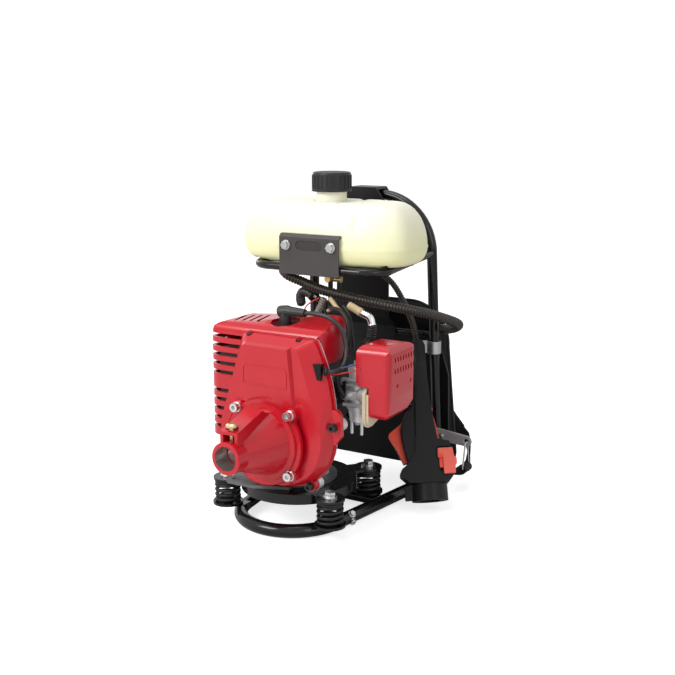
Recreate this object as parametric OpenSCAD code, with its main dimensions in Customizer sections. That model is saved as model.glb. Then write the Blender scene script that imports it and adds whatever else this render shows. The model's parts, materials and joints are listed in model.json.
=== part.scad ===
// Backpack power unit of a brush cutter: a small two-stroke engine on a sprung tubular back frame.
// +X is to the right seen from the drive socket, +Y points to the wearer's back, +Z is up.
// The origin is on the floor, in the middle of the whole unit.

/* [Frame] */
// Outer diameter of the base tube
base_d = 16; // [12:1:20]
// Bend radius of the base's round front
base_bow_r = 64; // [58:1:72]
// How far back the middle of the base's round front lies
base_bow_y = -54; // [-60:1:-48]
// Angle by which each base rail splays outwards, in degrees
rail_splay = 8.3; // [6:0.1:10]
// Where the uprights stand on the rails
upright_y = 146; // [136:1:152]
// Outer diameter of the uprights
upright_d = 13; // [10:1:16]
// Height of the top of the back frame
frame_top = 381; // [370:1:392]
// Bend radius of the back frame's top corners
top_bend_r = 70; // [55:1:76]
// Forward lean of the back frame, in degrees
lean = 3; // [2:0.5:4]
// Half the distance between the uprights at the top
upright_top_x = 87; // [84:1:90]

/* [Back rest] */
// Height of the back pad
pad_h = 229; // [200:1:236]
// Greatest width of the back pad
pad_w = 220; // [204:1:224]
// Thickness of the back pad
pad_t = 28; // [16:1:32]
// Thickness of the moulded back board
board_t = 4; // [3:0.5:6]
// Width of the spine plate behind the tank
spine_w = 76; // [60:1:84]
// Width of a shoulder strap
strap_w = 44; // [30:1:50]

/* [Fuel tank] */
// Length of the tank from side to side
tank_l = 232; // [200:1:240]
// Depth of the tank from front to back
tank_w = 109; // [90:1:112]
// Height of the tank body
tank_h = 72; // [60:1:74]
// Wall of the tank
tank_wall = 3; // [2:0.5:4]
// Height of the tank's underside above the floor
tank_z = 301; // [298:1:304]
// Diameter of the filler neck
neck_d = 36; // [30:1:40]
// Diameter of the filler cap
cap_d = 48; // [44:1:54]
// Diameter of the cradle rod
cradle_d = 10; // [8:1:12]

/* [Springs] */
// Outer diameter of a mounting spring
spring_d = 32; // [26:1:34]
// Wire of a mounting spring
spring_wire = 4.5; // [3:0.5:5]
// Turns of a mounting spring
spring_turns = 5; // [4:1:6]
// Height of the platform's upper face
platform_top = 50; // [49:0.5:52]
// Radius of the round platform
platform_r = 69; // [64:1:69]

/* [Engine] */
// Height of the crankshaft above the floor
crank_z = 111; // [110:1:113]
// Bore of the drive socket
socket_bore = 27.5; // [25:0.5:29]
// Outer diameter of the drive socket
socket_d = 37; // [35:0.5:40]
// Length of the drive socket's bore
socket_depth = 22; // [16:1:24]
// Half the square that the clutch housing's bolts stand on
clutch_bolt_half = 36; // [35:0.5:37]
// Radius of the clutch housing's flange
clutch_flange_r = 51; // [50:0.5:53]
// Bore of the cylinder
bore_d = 36; // [32:1:38]
// Number of cooling fins
fin_count = 8; // [6:1:9]
// Wall of the pressed and moulded covers
cover_wall = 3; // [2:0.5:4]
// Number of louvres in the shroud
louvre_count = 11; // [8:1:13]

/* [Throttle handle] */
// Bore of the handle's collar, for the cutting pole
pole_bore = 26.4; // [24:0.1:28.4]
// Thickness of the handle
handle_t = 34; // [33:1:38]
// Length of the handle
handle_l = 200; // [196:1:204]

/* [Hidden] */
$fn = 48;
gap = 0.3;          // clearance between pieces that only stand close together
fit = 0.05;         // radial clearance of a running fit
eps = 0.01;

// ---------- shared shapes ----------
// Points of an arc about c, from angle a0 to a1
function arc(c, r, a0, a1, n = 6) =
    [for (i = [0:n]) c + r * [cos(a0 + (a1 - a0) * i / n), sin(a0 + (a1 - a0) * i / n)]];
// Outline of a rectangle with round corners
function rounded(x0, y0, x1, y1, r, n = 6) = concat(
    arc([x1 - r, y0 + r], r, -90, 0, n), arc([x1 - r, y1 - r], r, 0, 90, n),
    arc([x0 + r, y1 - r], r, 90, 180, n), arc([x0 + r, y0 + r], r, 180, 270, n));

// A flat outline in X and Z, made thick from y0 to y1
module along_y(y0, y1) translate([0, y1, 0]) rotate([90, 0, 0]) linear_extrude(y1 - y0) children();
// A flat outline in Y and Z, made thick from x0 to x1
module along_x(x0, x1) translate([x0, 0, 0]) rotate([90, 0, 90]) linear_extrude(x1 - x0) children();
module cyl_y(r, y0, y1, x = 0, z = crank_z) translate([x, y1, z]) rotate([90, 0, 0]) cylinder(r = r, h = y1 - y0);
module cyl_x(r, x0, x1, y, z) translate([x0, y, z]) rotate([0, 90, 0]) cylinder(r = r, h = x1 - x0);
// A body of revolution about the crankshaft; the outline is [radius, distance to the front]
module about_crank() translate([0, 0, crank_z]) rotate([90, 0, 0]) rotate_extrude() children();
// A straight round bar between two points
module rod(a, b, d) {
    v = b - a;
    translate(a) rotate([0, acos(v.z / norm(v)), atan2(v.y, v.x)]) cylinder(d = d, h = norm(v));
}
// A hexagon-headed bolt lying along Z, its head on top
module hex_bolt(d, l) {
    cylinder(d = d, h = l);
    translate([0, 0, l]) cylinder(d = 2.1 * d, h = 0.25 * d);
    translate([0, 0, l + 0.25 * d - eps]) cylinder(d = 1.8 * d, h = 0.65 * d, $fn = 6);
}
// A socket-headed bolt with its spring washer, lying along Z, head on top
module cap_bolt(d, l) {
    difference() {
        union() {
            cylinder(d = d, h = l);
            translate([0, 0, l]) cylinder(d = 2 * d, h = 0.3 * d);
            translate([0, 0, l + 0.3 * d - eps]) cylinder(d = 1.7 * d, h = d);
        }
        translate([0, 0, l + 0.8 * d]) cylinder(d = 0.9 * d, h = d, $fn = 6);
    }
}

// Sweep of a cross-section along points
function unit(v) = v / norm(v);
function tangents(p) = [for (i = [0:len(p) - 1]) unit(p[min(i + 1, len(p) - 1)] - p[max(i - 1, 0)])];
function side_of(t, n) = unit(n - (n * t) * t);
function sides_along(ts, n, i = 0, out = []) =
    i == len(ts) ? out : let (m = side_of(ts[i], n)) sides_along(ts, m, i + 1, concat(out, [m]));
module skin(rings) {
    n = len(rings[0]);
    m = len(rings);
    polyhedron(points = [for (r = rings) each r], faces = concat(
        [[for (i = [0:n - 1]) i]],
        [for (k = [0:m - 2]) for (i = [0:n - 1]) let (j = (i + 1) % n)
            each [[k * n + i, (k + 1) * n + i, (k + 1) * n + j], [k * n + i, (k + 1) * n + j, k * n + j]]],
        [[for (i = [n - 1:-1:0]) (m - 1) * n + i]]), convexity = 6);
}
// A round tube, hose or wire along points
module hose(p, d, sides = 8) {
    ts = tangents(p);
    ns = sides_along(ts, abs(ts[0].z) > 0.8 ? [1, 0, 0] : [0, 0, 1]);
    skin([for (i = [0:len(p) - 1]) let (b = cross(ts[i], ns[i]))
        [for (k = [0:sides - 1]) let (a = 360 * k / sides) p[i] + d / 2 * (cos(a) * ns[i] + sin(a) * b)]]);
}
// A flat band along points; each entry is [point, outward direction]
module band(path, w, t) {
    p = [for (e = path) e[0]];
    ts = tangents(p);
    skin([for (i = [0:len(p) - 1]) let (n = side_of(ts[i], path[i][1]), b = cross(ts[i], n))
        [p[i] + w / 2 * b, p[i] - w / 2 * b, p[i] - w / 2 * b + t * n, p[i] + w / 2 * b + t * n]]);
}

// ---------- frame ----------
base_z = base_d / 2;
splay_dir = [sin(rail_splay), cos(rail_splay)];
rail_start = [base_bow_r * cos(rail_splay), base_bow_y - base_bow_r * sin(rail_splay)];
rail_l = (upright_y - rail_start.y) / cos(rail_splay);
foot_x = rail_start.x + rail_l * sin(rail_splay);
function rail_x(y) = rail_start.x + (y - rail_start.y) * tan(rail_splay);
bar_d = 10;
swage = 0.2;
low_bar_h = 92;
high_bar_h = 191;
cross_y = 28;
frame_h = (frame_top - base_z - upright_d / 2) / cos(lean);
bend_h = frame_h - top_bend_r;
function upright_x(h) = foot_x + (upright_top_x - foot_x) * min(1, h / bend_h);

// Places its children in the leaning plane of the uprights
module back_plane() translate([0, upright_y, base_z]) rotate([lean, 0, 0]) children();
function in_back(p) = [p.x, upright_y + p.y * cos(lean) - p.z * sin(lean),
    base_z + p.y * sin(lean) + p.z * cos(lean)];

module base_tube() color("black") {
    translate([0, base_bow_y, base_z]) rotate([0, 0, 180 + rail_splay])
        rotate_extrude(angle = 180 - 2 * rail_splay, $fn = 64) translate([base_bow_r, 0]) circle(d = base_d);
    for (s = [-1, 1]) {
        // each rail is swaged a little where it runs into the bend
        rod([s * (rail_start.x - splay_dir.x), rail_start.y - splay_dir.y, base_z],
            [s * foot_x, upright_y, base_z], base_d - swage);
        translate([s * foot_x, upright_y, base_z]) sphere(d = base_d);
    }
}

module cross_bars() color("black") {
    difference() {
        rod([-rail_x(cross_y), cross_y, base_z], [rail_x(cross_y), cross_y, base_z], base_d - 2);
        for (s = [-1, 1])
            rod([s * rail_start.x, rail_start.y, base_z], [s * foot_x, upright_y, base_z], base_d);
    }
    for (h = [low_bar_h, high_bar_h]) back_plane() difference() {
        rod([-upright_x(h), 0, h], [upright_x(h), 0, h], bar_d);
        for (s = [-1, 1]) rod([s * foot_x, 0, 0], [s * upright_top_x, 0, bend_h], upright_d);
    }
}

module back_bends() back_plane() for (s = [-1, 1])
    translate([s * (upright_top_x - top_bend_r), 0, bend_h]) rotate([90, 0, 0])
        rotate([0, 0, s > 0 ? 0 : 90]) rotate_extrude(angle = 90, $fn = 64)
            translate([top_bend_r, 0]) circle(d = upright_d, $fn = 32);
// The straight tubes run a little way into the bends, which are swaged over them
module uprights() back_plane() for (s = [-1, 1])
    rod([s * foot_x, 0, 0], [s * upright_top_x, 0, bend_h + 2], upright_d - swage);
module back_frame() color("black") difference() {
    union() {
        uprights();
        back_bends();
        back_plane() rod([top_bend_r - upright_top_x - 2, 0, frame_h], [upright_top_x - top_bend_r + 2, 0, frame_h],
            upright_d - swage);
    }
    for (s = [-1, 1]) {
        rod([s * rail_start.x, rail_start.y, base_z], [s * foot_x, upright_y, base_z], base_d);
        translate([s * foot_x, upright_y, base_z]) sphere(d = base_d);
    }
}

plate_t = 3;
bow_y = in_back([0, 0, frame_h]).y;
spine_y = 107;
bar_at = in_back([0, 0, high_bar_h]);
spine_foot_y = bar_at.y - bar_d / 2 - plate_t;
spine_foot_z = bar_at.z - 9;
spine_top = frame_top + plate_t + 0.8;
hook_y = bow_y + upright_d / 2 + gap;

module spine_plate() color("black") intersection() {
    along_x(-spine_w / 2, spine_w / 2) polygon([
        [hook_y, frame_top - 9], [hook_y + plate_t, frame_top - 9], [hook_y + plate_t, spine_top],
        [spine_y, spine_top], [spine_y, spine_foot_z + 32], [spine_foot_y, spine_foot_z + 16],
        [spine_foot_y, spine_foot_z], [spine_foot_y + plate_t, spine_foot_z],
        [spine_foot_y + plate_t, spine_foot_z + 17.5], [spine_y + plate_t, spine_foot_z + 33.5],
        [spine_y + plate_t, spine_top - plate_t], [hook_y, spine_top - plate_t]]);
    along_y(spine_y - 1, hook_y + plate_t + 1) polygon([
        [-spine_w / 2, spine_foot_z - 1], [spine_w / 2, spine_foot_z - 1], [spine_w / 2, frame_top - 80],
        [spine_w / 2 - 7, frame_top - 13], [spine_w / 2 - 20, spine_top + 1],
        [20 - spine_w / 2, spine_top + 1], [7 - spine_w / 2, frame_top - 13], [-spine_w / 2, frame_top - 80]]);
}

// Outline of the back rest: a wide arch over two smaller bottom corners
pad_top_r = 54;
pad_low_r = 26;
function rest_half(inset) = let (w = pad_w / 2, r = pad_top_r - inset, q = pad_low_r - inset)
    concat(arc([w - pad_low_r, pad_low_r + 3], q, -90, 0, 5), [[w - inset, pad_h * 0.6]],
        arc([w - pad_top_r - 10, pad_h - pad_top_r], r, -3, 90, 8));
function rest_outline(inset) = let (h = rest_half(inset), n = len(h) - 1)
    concat(h, [for (i = [n:-1:0]) [-h[i].x, h[i].y]]);
board_y = upright_d / 2 + 2.6;         // stands off for the clamp round the upright
pad_y = board_y + board_t + gap;

module back_board() color("dimgray") back_plane() difference() {
    along_y(board_y, board_y + board_t) polygon(rest_outline(5));
    // four round windows lighten the board and hold the pad's ties
    for (s = [-1, 1], h = [60, 150]) translate([s * 45, board_y - 1, h]) rotate([-90, 0, 0])
        cylinder(d = 9, h = board_t + 2);
}

module back_pad() color("black") back_plane() difference() {
    along_y(pad_y, pad_y + pad_t) polygon(rest_outline(0));
    // the wearer's side is rounded off all round
    difference() {
        along_y(pad_y + pad_t * 0.72, pad_y + pad_t + 1) polygon(rest_outline(-2));
        along_y(pad_y + pad_t * 0.72 - 1, pad_y + pad_t + 2) polygon(rest_outline(8));
    }
}

// Strap anchors: a plate on each upright whose hole takes the wire ring
anchor_z = 66;
anchor_reach = 139;
anchor_t = 3;
anchor_hole = 7;
anchor_y = upright_y - (anchor_z + 14 - base_z) * tan(lean) - upright_d / 2 - anchor_t - gap;
module both_sides() {
    children();
    mirror([1, 0, 0]) children();
}
module strap_anchors() color("dimgray") both_sides() difference() {
    along_y(anchor_y, anchor_y + anchor_t) polygon(concat(
        arc([anchor_reach, anchor_z], anchor_hole, -75, 85, 8),
        [[foot_x - 8, anchor_z + 13]], [[foot_x - 10, anchor_z + 10]],
        [[foot_x - 10, anchor_z - 4]], [[foot_x + 16, anchor_z - 5]]));
    cyl_y(anchor_hole / 2, anchor_y - 1, anchor_y + anchor_t + 1, anchor_reach, anchor_z);
    cyl_y(2.2, anchor_y - 1, anchor_y + anchor_t + 1, foot_x + 10, anchor_z + 2);
}

ring_drop = 36;
ring_wire = 2.4;
ring_mid_y = anchor_y + anchor_t / 2;
ring_low_z = anchor_z - ring_drop;
module strap_rings() color("silver") both_sides() {
    // a wire link: narrow through the hole, wide at the bottom where the webbing sits
    h = anchor_z - anchor_hole / 2 + ring_wire / 2 + 0.2 - ring_low_z;
    half = [[0.4, 0], [8, 0], [9.6, 1.4], [9.4, 4], [4.6, h - 6], [3.6, h - 1.6], [2.5, h - 0.1]];
    translate([anchor_reach, ring_mid_y, ring_low_z]) hose(concat([for (p = half) [0, p.x, p.y]], [[0, 0, h]],
        [for (i = [len(half) - 1:-1:0]) [0, -half[i].x, half[i].y]]), ring_wire, 6);
}

strap_t = 6;
web_w = 20;
web_t = 2;
rest_back = pad_y + pad_t;
// A strap lies down the wearer's side of the pad; its webbing then turns round the pad's edge to the ring
strap_path = [[36, 196], [40, 168], [46, 140], [56, 112], [70, 86], [84, 66], [96, 52]];
web_path = [[[88, 0, 60], [0, 1, 0]], [[102, 0, 48], [0.1, 1, 0]], [[115, -5, 41], [0.6, 0.8, 0]],
    [[124, -18, 36], [0.9, 0.5, 0]], [[132, -34, 31], [1, 0.3, 0]], [[138, -44, 27], [1, 0.2, 0]]];
function on_pad(x, out, z) = [x, in_back([0, rest_back + out, z - base_z]).y, z];
module shoulder_straps() color("black") both_sides() {
    band([for (p = strap_path) [on_pad(p.x, gap, p.y), [0, cos(lean), sin(lean)]]], strap_w, strap_t);
    band([for (e = web_path) [on_pad(e[0].x, e[0].y + strap_t + 1, e[0].z), e[1]]], web_w, web_t);
    // folded end of the webbing round the wire ring
    difference() {
        translate([anchor_reach - 4, ring_mid_y - 7, ring_low_z - 8]) cube([7, 14, 11]);
        translate([anchor_reach - 5, ring_mid_y - 8, ring_low_z - ring_wire / 2 - 0.3])
            cube([9, 16, ring_wire + 0.6]);
    }
}

// ---------- tank cradle and bracket ----------
cradle_x = 88;
cradle_front_y = -13;
cradle_front_z = tank_z - cradle_d / 2 - gap;
cradle_rise = 9;
cradle_corner = 28;
cradle_back_z = cradle_front_z + cradle_rise;
cradle_back_y = in_back([0, 0, (cradle_back_z - base_z)]).y;
module cradle_arms(d) for (s = [-1, 1])
    rod([s * cradle_x, cradle_front_y + cradle_corner - 2, cradle_front_z],
        [s * upright_top_x, cradle_back_y, cradle_back_z], d);
module tank_cradle() color("black") difference() {
    union() {
        rod([cradle_corner - cradle_x - 1, cradle_front_y, cradle_front_z],
            [cradle_x - cradle_corner + 1, cradle_front_y, cradle_front_z], cradle_d - swage);
        for (s = [-1, 1]) translate([s * (cradle_x - cradle_corner), cradle_front_y + cradle_corner, cradle_front_z])
            rotate([0, 0, s > 0 ? -90 : 180]) rotate_extrude(angle = 90)
                translate([cradle_corner, 0]) circle(d = cradle_d, $fn = 32);
        cradle_arms(cradle_d - swage);
        // two cross rods carry the tank's underside
        for (y = [24, 76])
            rod([-cradle_x, y, rest_z(y)], [cradle_x, y, rest_z(y)], rest_d);
    }
    uprights();
    back_bends();
}
rest_d = 6;
function rest_z(y) = min(tank_z - gap - rest_d / 2, cradle_front_z + cradle_rise * (y - cradle_front_y) / 146);

bracket_w = 82;
bracket_t = 2;
bracket_y = cradle_front_y - cradle_d / 2 - gap - bracket_t;
bracket_top = tank_z + 35;
bracket_bolt_x = 31;
bracket_bolt_z = tank_z + 22;
module tank_bracket() color("dimgray") difference() {
    along_x(-bracket_w / 2, bracket_w / 2) polygon([
        [bracket_y, bracket_top - 3], [bracket_y + 3, bracket_top], [bracket_y + 16, bracket_top],
        [bracket_y + 16, bracket_top - bracket_t], [bracket_y + 4, bracket_top - bracket_t],
        [bracket_y + bracket_t, bracket_top - 4], [bracket_y + bracket_t, cradle_front_z - 1],
        [bracket_y + bracket_t + 1, cradle_front_z - 5.6], [bracket_y + 8, cradle_front_z - 5.6],
        [bracket_y + 8, cradle_front_z - 7.4], [bracket_y + 1, cradle_front_z - 7.4],
        [bracket_y, cradle_front_z - 3]]);
    // long pressed recess between the bolts
    along_y(bracket_y - 1, bracket_y + 0.8) polygon(rounded(-18, bracket_bolt_z - 6, 18, bracket_bolt_z + 6, 6));
    for (s = [-1, 1]) cyl_y(3, bracket_y - 1, bracket_y + bracket_t + 1, s * bracket_bolt_x, bracket_bolt_z);
}

// ---------- fuel tank ----------
tank_y = cradle_front_y - 3 + tank_w / 2;
cap_y = 33;
waist = 0.28;       // share of the height at which the tank is widest
neck_top = tank_z + tank_h + 14;
// One level of the tank: a soft-cornered oblong, drawn in at the top and the bottom
function tank_level(t, inset, n) = let (low = t < 0,
        z = tank_z + inset + (low ? waist * (tank_h - 2 * inset) * (1 + sin(t))
            : (tank_h - 2 * inset) * (waist + (1 - waist) * sin(t))),
        draw = inset + (low ? 16 : 34) * (1 - cos(t)),
        a = tank_l / 2 - draw, b = tank_w / 2 - draw * 0.72 - inset * 0.28, e = 0.62)
    [for (i = [0:n - 1]) let (q = 360 * i / n, c = cos(q), s = sin(q))
        [a * sign(c) * pow(abs(c), e), tank_y + b * sign(s) * pow(abs(s), e), z]];
tank_steps = [-90, -60, -30, 0, 15, 30, 42, 54, 66, 78, 90];
module tank_form(inset, n) skin([for (t = tank_steps) tank_level(t, inset, n)]);

outlet = [12, 10];
outlet_d = 10;
module fuel_tank() color("ivory") difference() {
    union() {
        tank_form(0, 48);
        translate([0, cap_y, tank_z + tank_h - 6]) cylinder(d = neck_d, h = neck_top - tank_z - tank_h + 6);
    }
    difference() {
        tank_form(tank_wall, 32);
        // the wall follows the two grooves over the cradle's arms
        cradle_arms(cradle_d + 2 * (gap + tank_wall));
    }
    cradle_arms(cradle_d + 2 * gap);
    translate([0, cap_y, tank_z + tank_h - 12]) cylinder(d = neck_d - 2 * tank_wall, h = 40);
    // the front is let in for the bracket's lip and its two bolts, and the floor for the fuel outlet
    translate([-bracket_w / 2 - 0.5, bracket_y - 5, bracket_top - 40]) cube([bracket_w + 1, 5 + bracket_t + gap, 60]);
    translate([-bracket_w / 2 - 0.5, bracket_y - 5, bracket_top - bracket_t - gap])
        cube([bracket_w + 1, 21 + gap, bracket_t + 2 * gap]);
    for (s = [-1, 1]) cyl_y(3.1, bracket_y, bracket_y + bracket_t + 4.3, s * bracket_bolt_x, bracket_bolt_z);
    translate([outlet.x, outlet.y, tank_z - 1]) cylinder(d = outlet_d + 2 * gap, h = tank_wall + 3);
}

cap_h = 23;
cap_top = neck_top + 20;
module cap_liner() color("black") {
    translate([0, cap_y, neck_top + gap]) cylinder(d = neck_d - 1, h = 2.4);
    translate([0, cap_y, neck_top - 5]) difference() {
        cylinder(d = neck_d - 2 * tank_wall - 0.8, h = 5 + gap + eps);
        translate([0, 0, -1]) cylinder(d = neck_d - 2 * tank_wall - 6, h = 5);
    }
}
module fuel_cap() color("black") translate([0, cap_y, cap_top - cap_h]) difference() {
    union() {
        rotate_extrude($fn = 72) polygon([[0, 0], [cap_d / 2, 0], [cap_d / 2, 3], [cap_d / 2 - 0.8, 3.6],
            [cap_d / 2 - 0.8, cap_h - 3], [cap_d / 2 - 1.8, cap_h - 0.6], [cap_d / 2 - 4, cap_h],
            [cap_d / 2 - 7, cap_h - 0.9], [0, cap_h - 0.9]]);
        // grip ribs round the skirt
        for (i = [0:23]) rotate(i * 15) translate([cap_d / 2 - 2, -0.8, 2]) cube([1.9, 1.6, cap_h - 6]);
    }
    translate([0, 0, -1]) cylinder(d = neck_d + 0.8, h = neck_top + gap + 2.4 + gap - cap_top + cap_h + 1);
}

// ---------- fuel cock and hose ----------
cock_z = tank_z - 19;
module fuel_cock() color("gold") translate([outlet.x, outlet.y, 0]) difference() {
    union() {
        translate([0, 0, cock_z]) cylinder(d = outlet_d, h = tank_z + 5 - cock_z);
        translate([0, 0, cock_z + 4]) cylinder(d = 13, h = 6, $fn = 6);
        cyl_y(4, -8, 8, 0, cock_z);
        translate([0, 0, cock_z - 12]) cylinder(d = 6, h = 12);
        cyl_x(3.5, 0, 12, 0, cock_z);
    }
    translate([0, 0, cock_z - 13]) cylinder(d = 2.6, h = 40);
    cyl_x(1.6, 4, 13, 0, cock_z);
}
module fuel_cock_lever() color("gold") {
    translate([outlet.x, outlet.y, 0]) {
        cyl_x(1.6 - fit, 6, 15, 0, cock_z);
        cyl_x(4, 12 + gap, 15, 0, cock_z);
        translate([12 + gap, -2.5, cock_z - 16]) cube([2.4, 5, 14]);
    }
}

// ---------- spring mounting ----------
seat_t = 3;
seat_z = base_d + gap;
spring_at = [[72, -90], [55, cross_y]];
plate_th = 3;
ear_under = platform_top - plate_th;
bolt_d = 8;
module on_springs() for (p = spring_at, s = [-1, 1]) translate([s * p.x, p.y, 0]) children();

module spring_seats() color("dimgray") {
    on_springs() difference() {
        translate([0, 0, seat_z]) cylinder(d = spring_d + 4, h = seat_t);
        translate([0, 0, seat_z - 1]) cylinder(d = bolt_d, h = seat_t + 2);
    }
    // a stud keeps the foot of each spring in place
    on_springs() translate([0, 0, seat_z]) cylinder(d = bolt_d + 4, h = seat_t + 7);
    // saddles weld the seats to the tubes
    for (s = [-1, 1]) {
        difference() {
            translate([s * spring_at[0].x - (s > 0 ? 22 : -8) , spring_at[0].y + 2, base_z]) cube([14, 14, seat_z - base_z]);
            translate([0, base_bow_y, base_z]) rotate([0, 0, 180 + rail_splay])
                rotate_extrude(angle = 180 - 2 * rail_splay, $fn = 64) translate([base_bow_r, 0])
                    circle(d = base_d + 2 * gap);
            rod([s * rail_start.x, rail_start.y, base_z], [s * foot_x, upright_y, base_z], base_d + 2 * gap);
        }
    }
}

spring_low = seat_z + seat_t;
spring_high = ear_under;
module mount_springs() color("black") on_springs() {
    n = 10 * spring_turns;
    rise = spring_high - spring_low - spring_wire - 2 * gap;
    hose([for (i = [0:n]) let (a = 36 * i, r = (spring_d - spring_wire) / 2)
        [r * cos(a), r * sin(a), spring_low + gap + spring_wire / 2 + rise * i / n]], spring_wire, 6);
}

module spring_bolts() color("silver") on_springs() {
    translate([0, 0, ear_under - 12]) cylinder(d = bolt_d, h = platform_top - ear_under + 12);
    translate([0, 0, platform_top - 0.2]) cylinder(d = 17, h = 1.8);
    translate([0, 0, platform_top + 1.6 - eps]) cylinder(d = 13, h = 5.4, $fn = 6);
    // collar keeps the head of the spring in place
    difference() {
        translate([0, 0, ear_under - 7]) cylinder(d = spring_d - 2 * spring_wire - 2, h = 7 - gap);
        translate([0, 0, ear_under - 8]) cylinder(d = bolt_d - eps, h = 9);
    }
}

pivot = [0, -44];
pivot_d = 16;
module platform() color("black") difference() {
    union() {
        // pressed dish with its rim turned down
        translate([pivot.x, pivot.y, 0]) rotate_extrude($fn = 72) polygon([
            [0, platform_top - plate_th - 0.4], [platform_r - 6, platform_top - plate_th - 0.4],
            [platform_r - 4, platform_top - 12], [platform_r, platform_top - 12],
            [platform_r, platform_top], [0, platform_top]]);
        // four ears reach out to the springs
        for (p = spring_at, s = [-1, 1]) let (v = [s * p.x, p.y] - pivot)
            translate([0, 0, ear_under]) linear_extrude(plate_th - 0.2) {
                translate([s * p.x, p.y]) circle(r = 17);
                translate(pivot) rotate(atan2(v.y, v.x)) translate([platform_r - 10, -13])
                    square([norm(v) - platform_r + 10, 26]);
            }
        translate([pivot.x, pivot.y, platform_top - eps]) cylinder(d = pivot_d, h = 9);
    }
    on_springs() translate([0, 0, ear_under - 1]) cylinder(d = bolt_d + 0.4, h = plate_th + 2);
}

table_z = platform_top + gap;
table_t = 4;
module turntable() color("silver") difference() {
    union() {
        translate([pivot.x, pivot.y, table_z]) cylinder(r = 46, h = table_t);
        // slotted strip out to the front of the engine
        translate([0, 0, table_z]) linear_extrude(table_t)
            polygon(concat(arc([-52, -104], 9, 90, 250, 8), [[-20, -112], [20, -96], [20, -70], [-20, -70]]));
    }
    translate([pivot.x, pivot.y, table_z - 1]) cylinder(d = pivot_d + 2 * fit, h = table_t + 2);
    hull_slot();
}
module hull_slot() translate([0, 0, table_z - 1]) linear_extrude(table_t + 2)
    polygon(concat(arc([-51, -104], 3.2, 90, 270, 6), arc([-34, -103], 3.2, -90, 90, 6)));

// ---------- engine ----------
bolt_face = -112.5;                     // face that the clutch housing is bolted to
ridge_y = bolt_face + 4;                // front edge of the cover round the raised panel
cover_rear = -90;                       // joint between the fan cover and the crankcase
case_front = cover_rear + gap;
case_rear = -26;
jug = [0, -58];                         // axis of the cylinder
deck_z = crank_z + 42;
bolt_c = crank_z + 1.5;                 // height of the middle of the clutch bolts
chimney_top = crank_z + 119;            // top of the joint of the fan cover

// Outlines of the fan cover: a round scroll under a tapering chimney, at the front and at the joint
function face_outline(g) = concat(
    arc([14, crank_z + 7], 59.5 + g, -90, 18, 16), arc([37, chimney_top - 15], 8 + g, 18, 90, 4),
    arc([-28, chimney_top - 15], 8 + g, 90, 162, 4), arc([-6, crank_z + 7], 59.5 + g, 162, 270, 14));
function joint_outline(g) = concat(
    arc([17, crank_z + 8.5], 62.5 + g, -90, 0, 12), arc([-120, crank_z + 24], 199.5 + g, 3, 25, 4),
    arc([50, chimney_top - 9], 9 + g, 26, 90, 4), arc([-34, chimney_top - 9], 9 + g, 90, 160, 4),
    arc([-9, crank_z + 8.5], 62.5 + g, 165, 270, 10));
ear_at = [[82, crank_z + 25], [51, crank_z - 49], [-68, crank_z - 23]];
roof_screw = [[-31, -96], [36, -96]];
clutch_bolts = [for (s = [-1, 1], t = [-1, 1]) [s * clutch_bolt_half, bolt_c + t * 35]];

module face_slice(g, y) along_y(y, y + 0.5) polygon(face_outline(g));
module joint_slice(g, y) along_y(y, y + 0.5) polygon(joint_outline(g));
// Front view of the raised panel: it runs out to the left edge and stops short of the right one
module panel_slice(g, y) along_y(y, y + 0.5) intersection() {
    polygon(face_outline(g));
    polygon([[-90, crank_z - 60], [32 + g, crank_z - 60], [44 + g, crank_z - 2], [39 + g, crank_z + 47],
        [32 + g, chimney_top], [-90, chimney_top]]);
}

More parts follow.
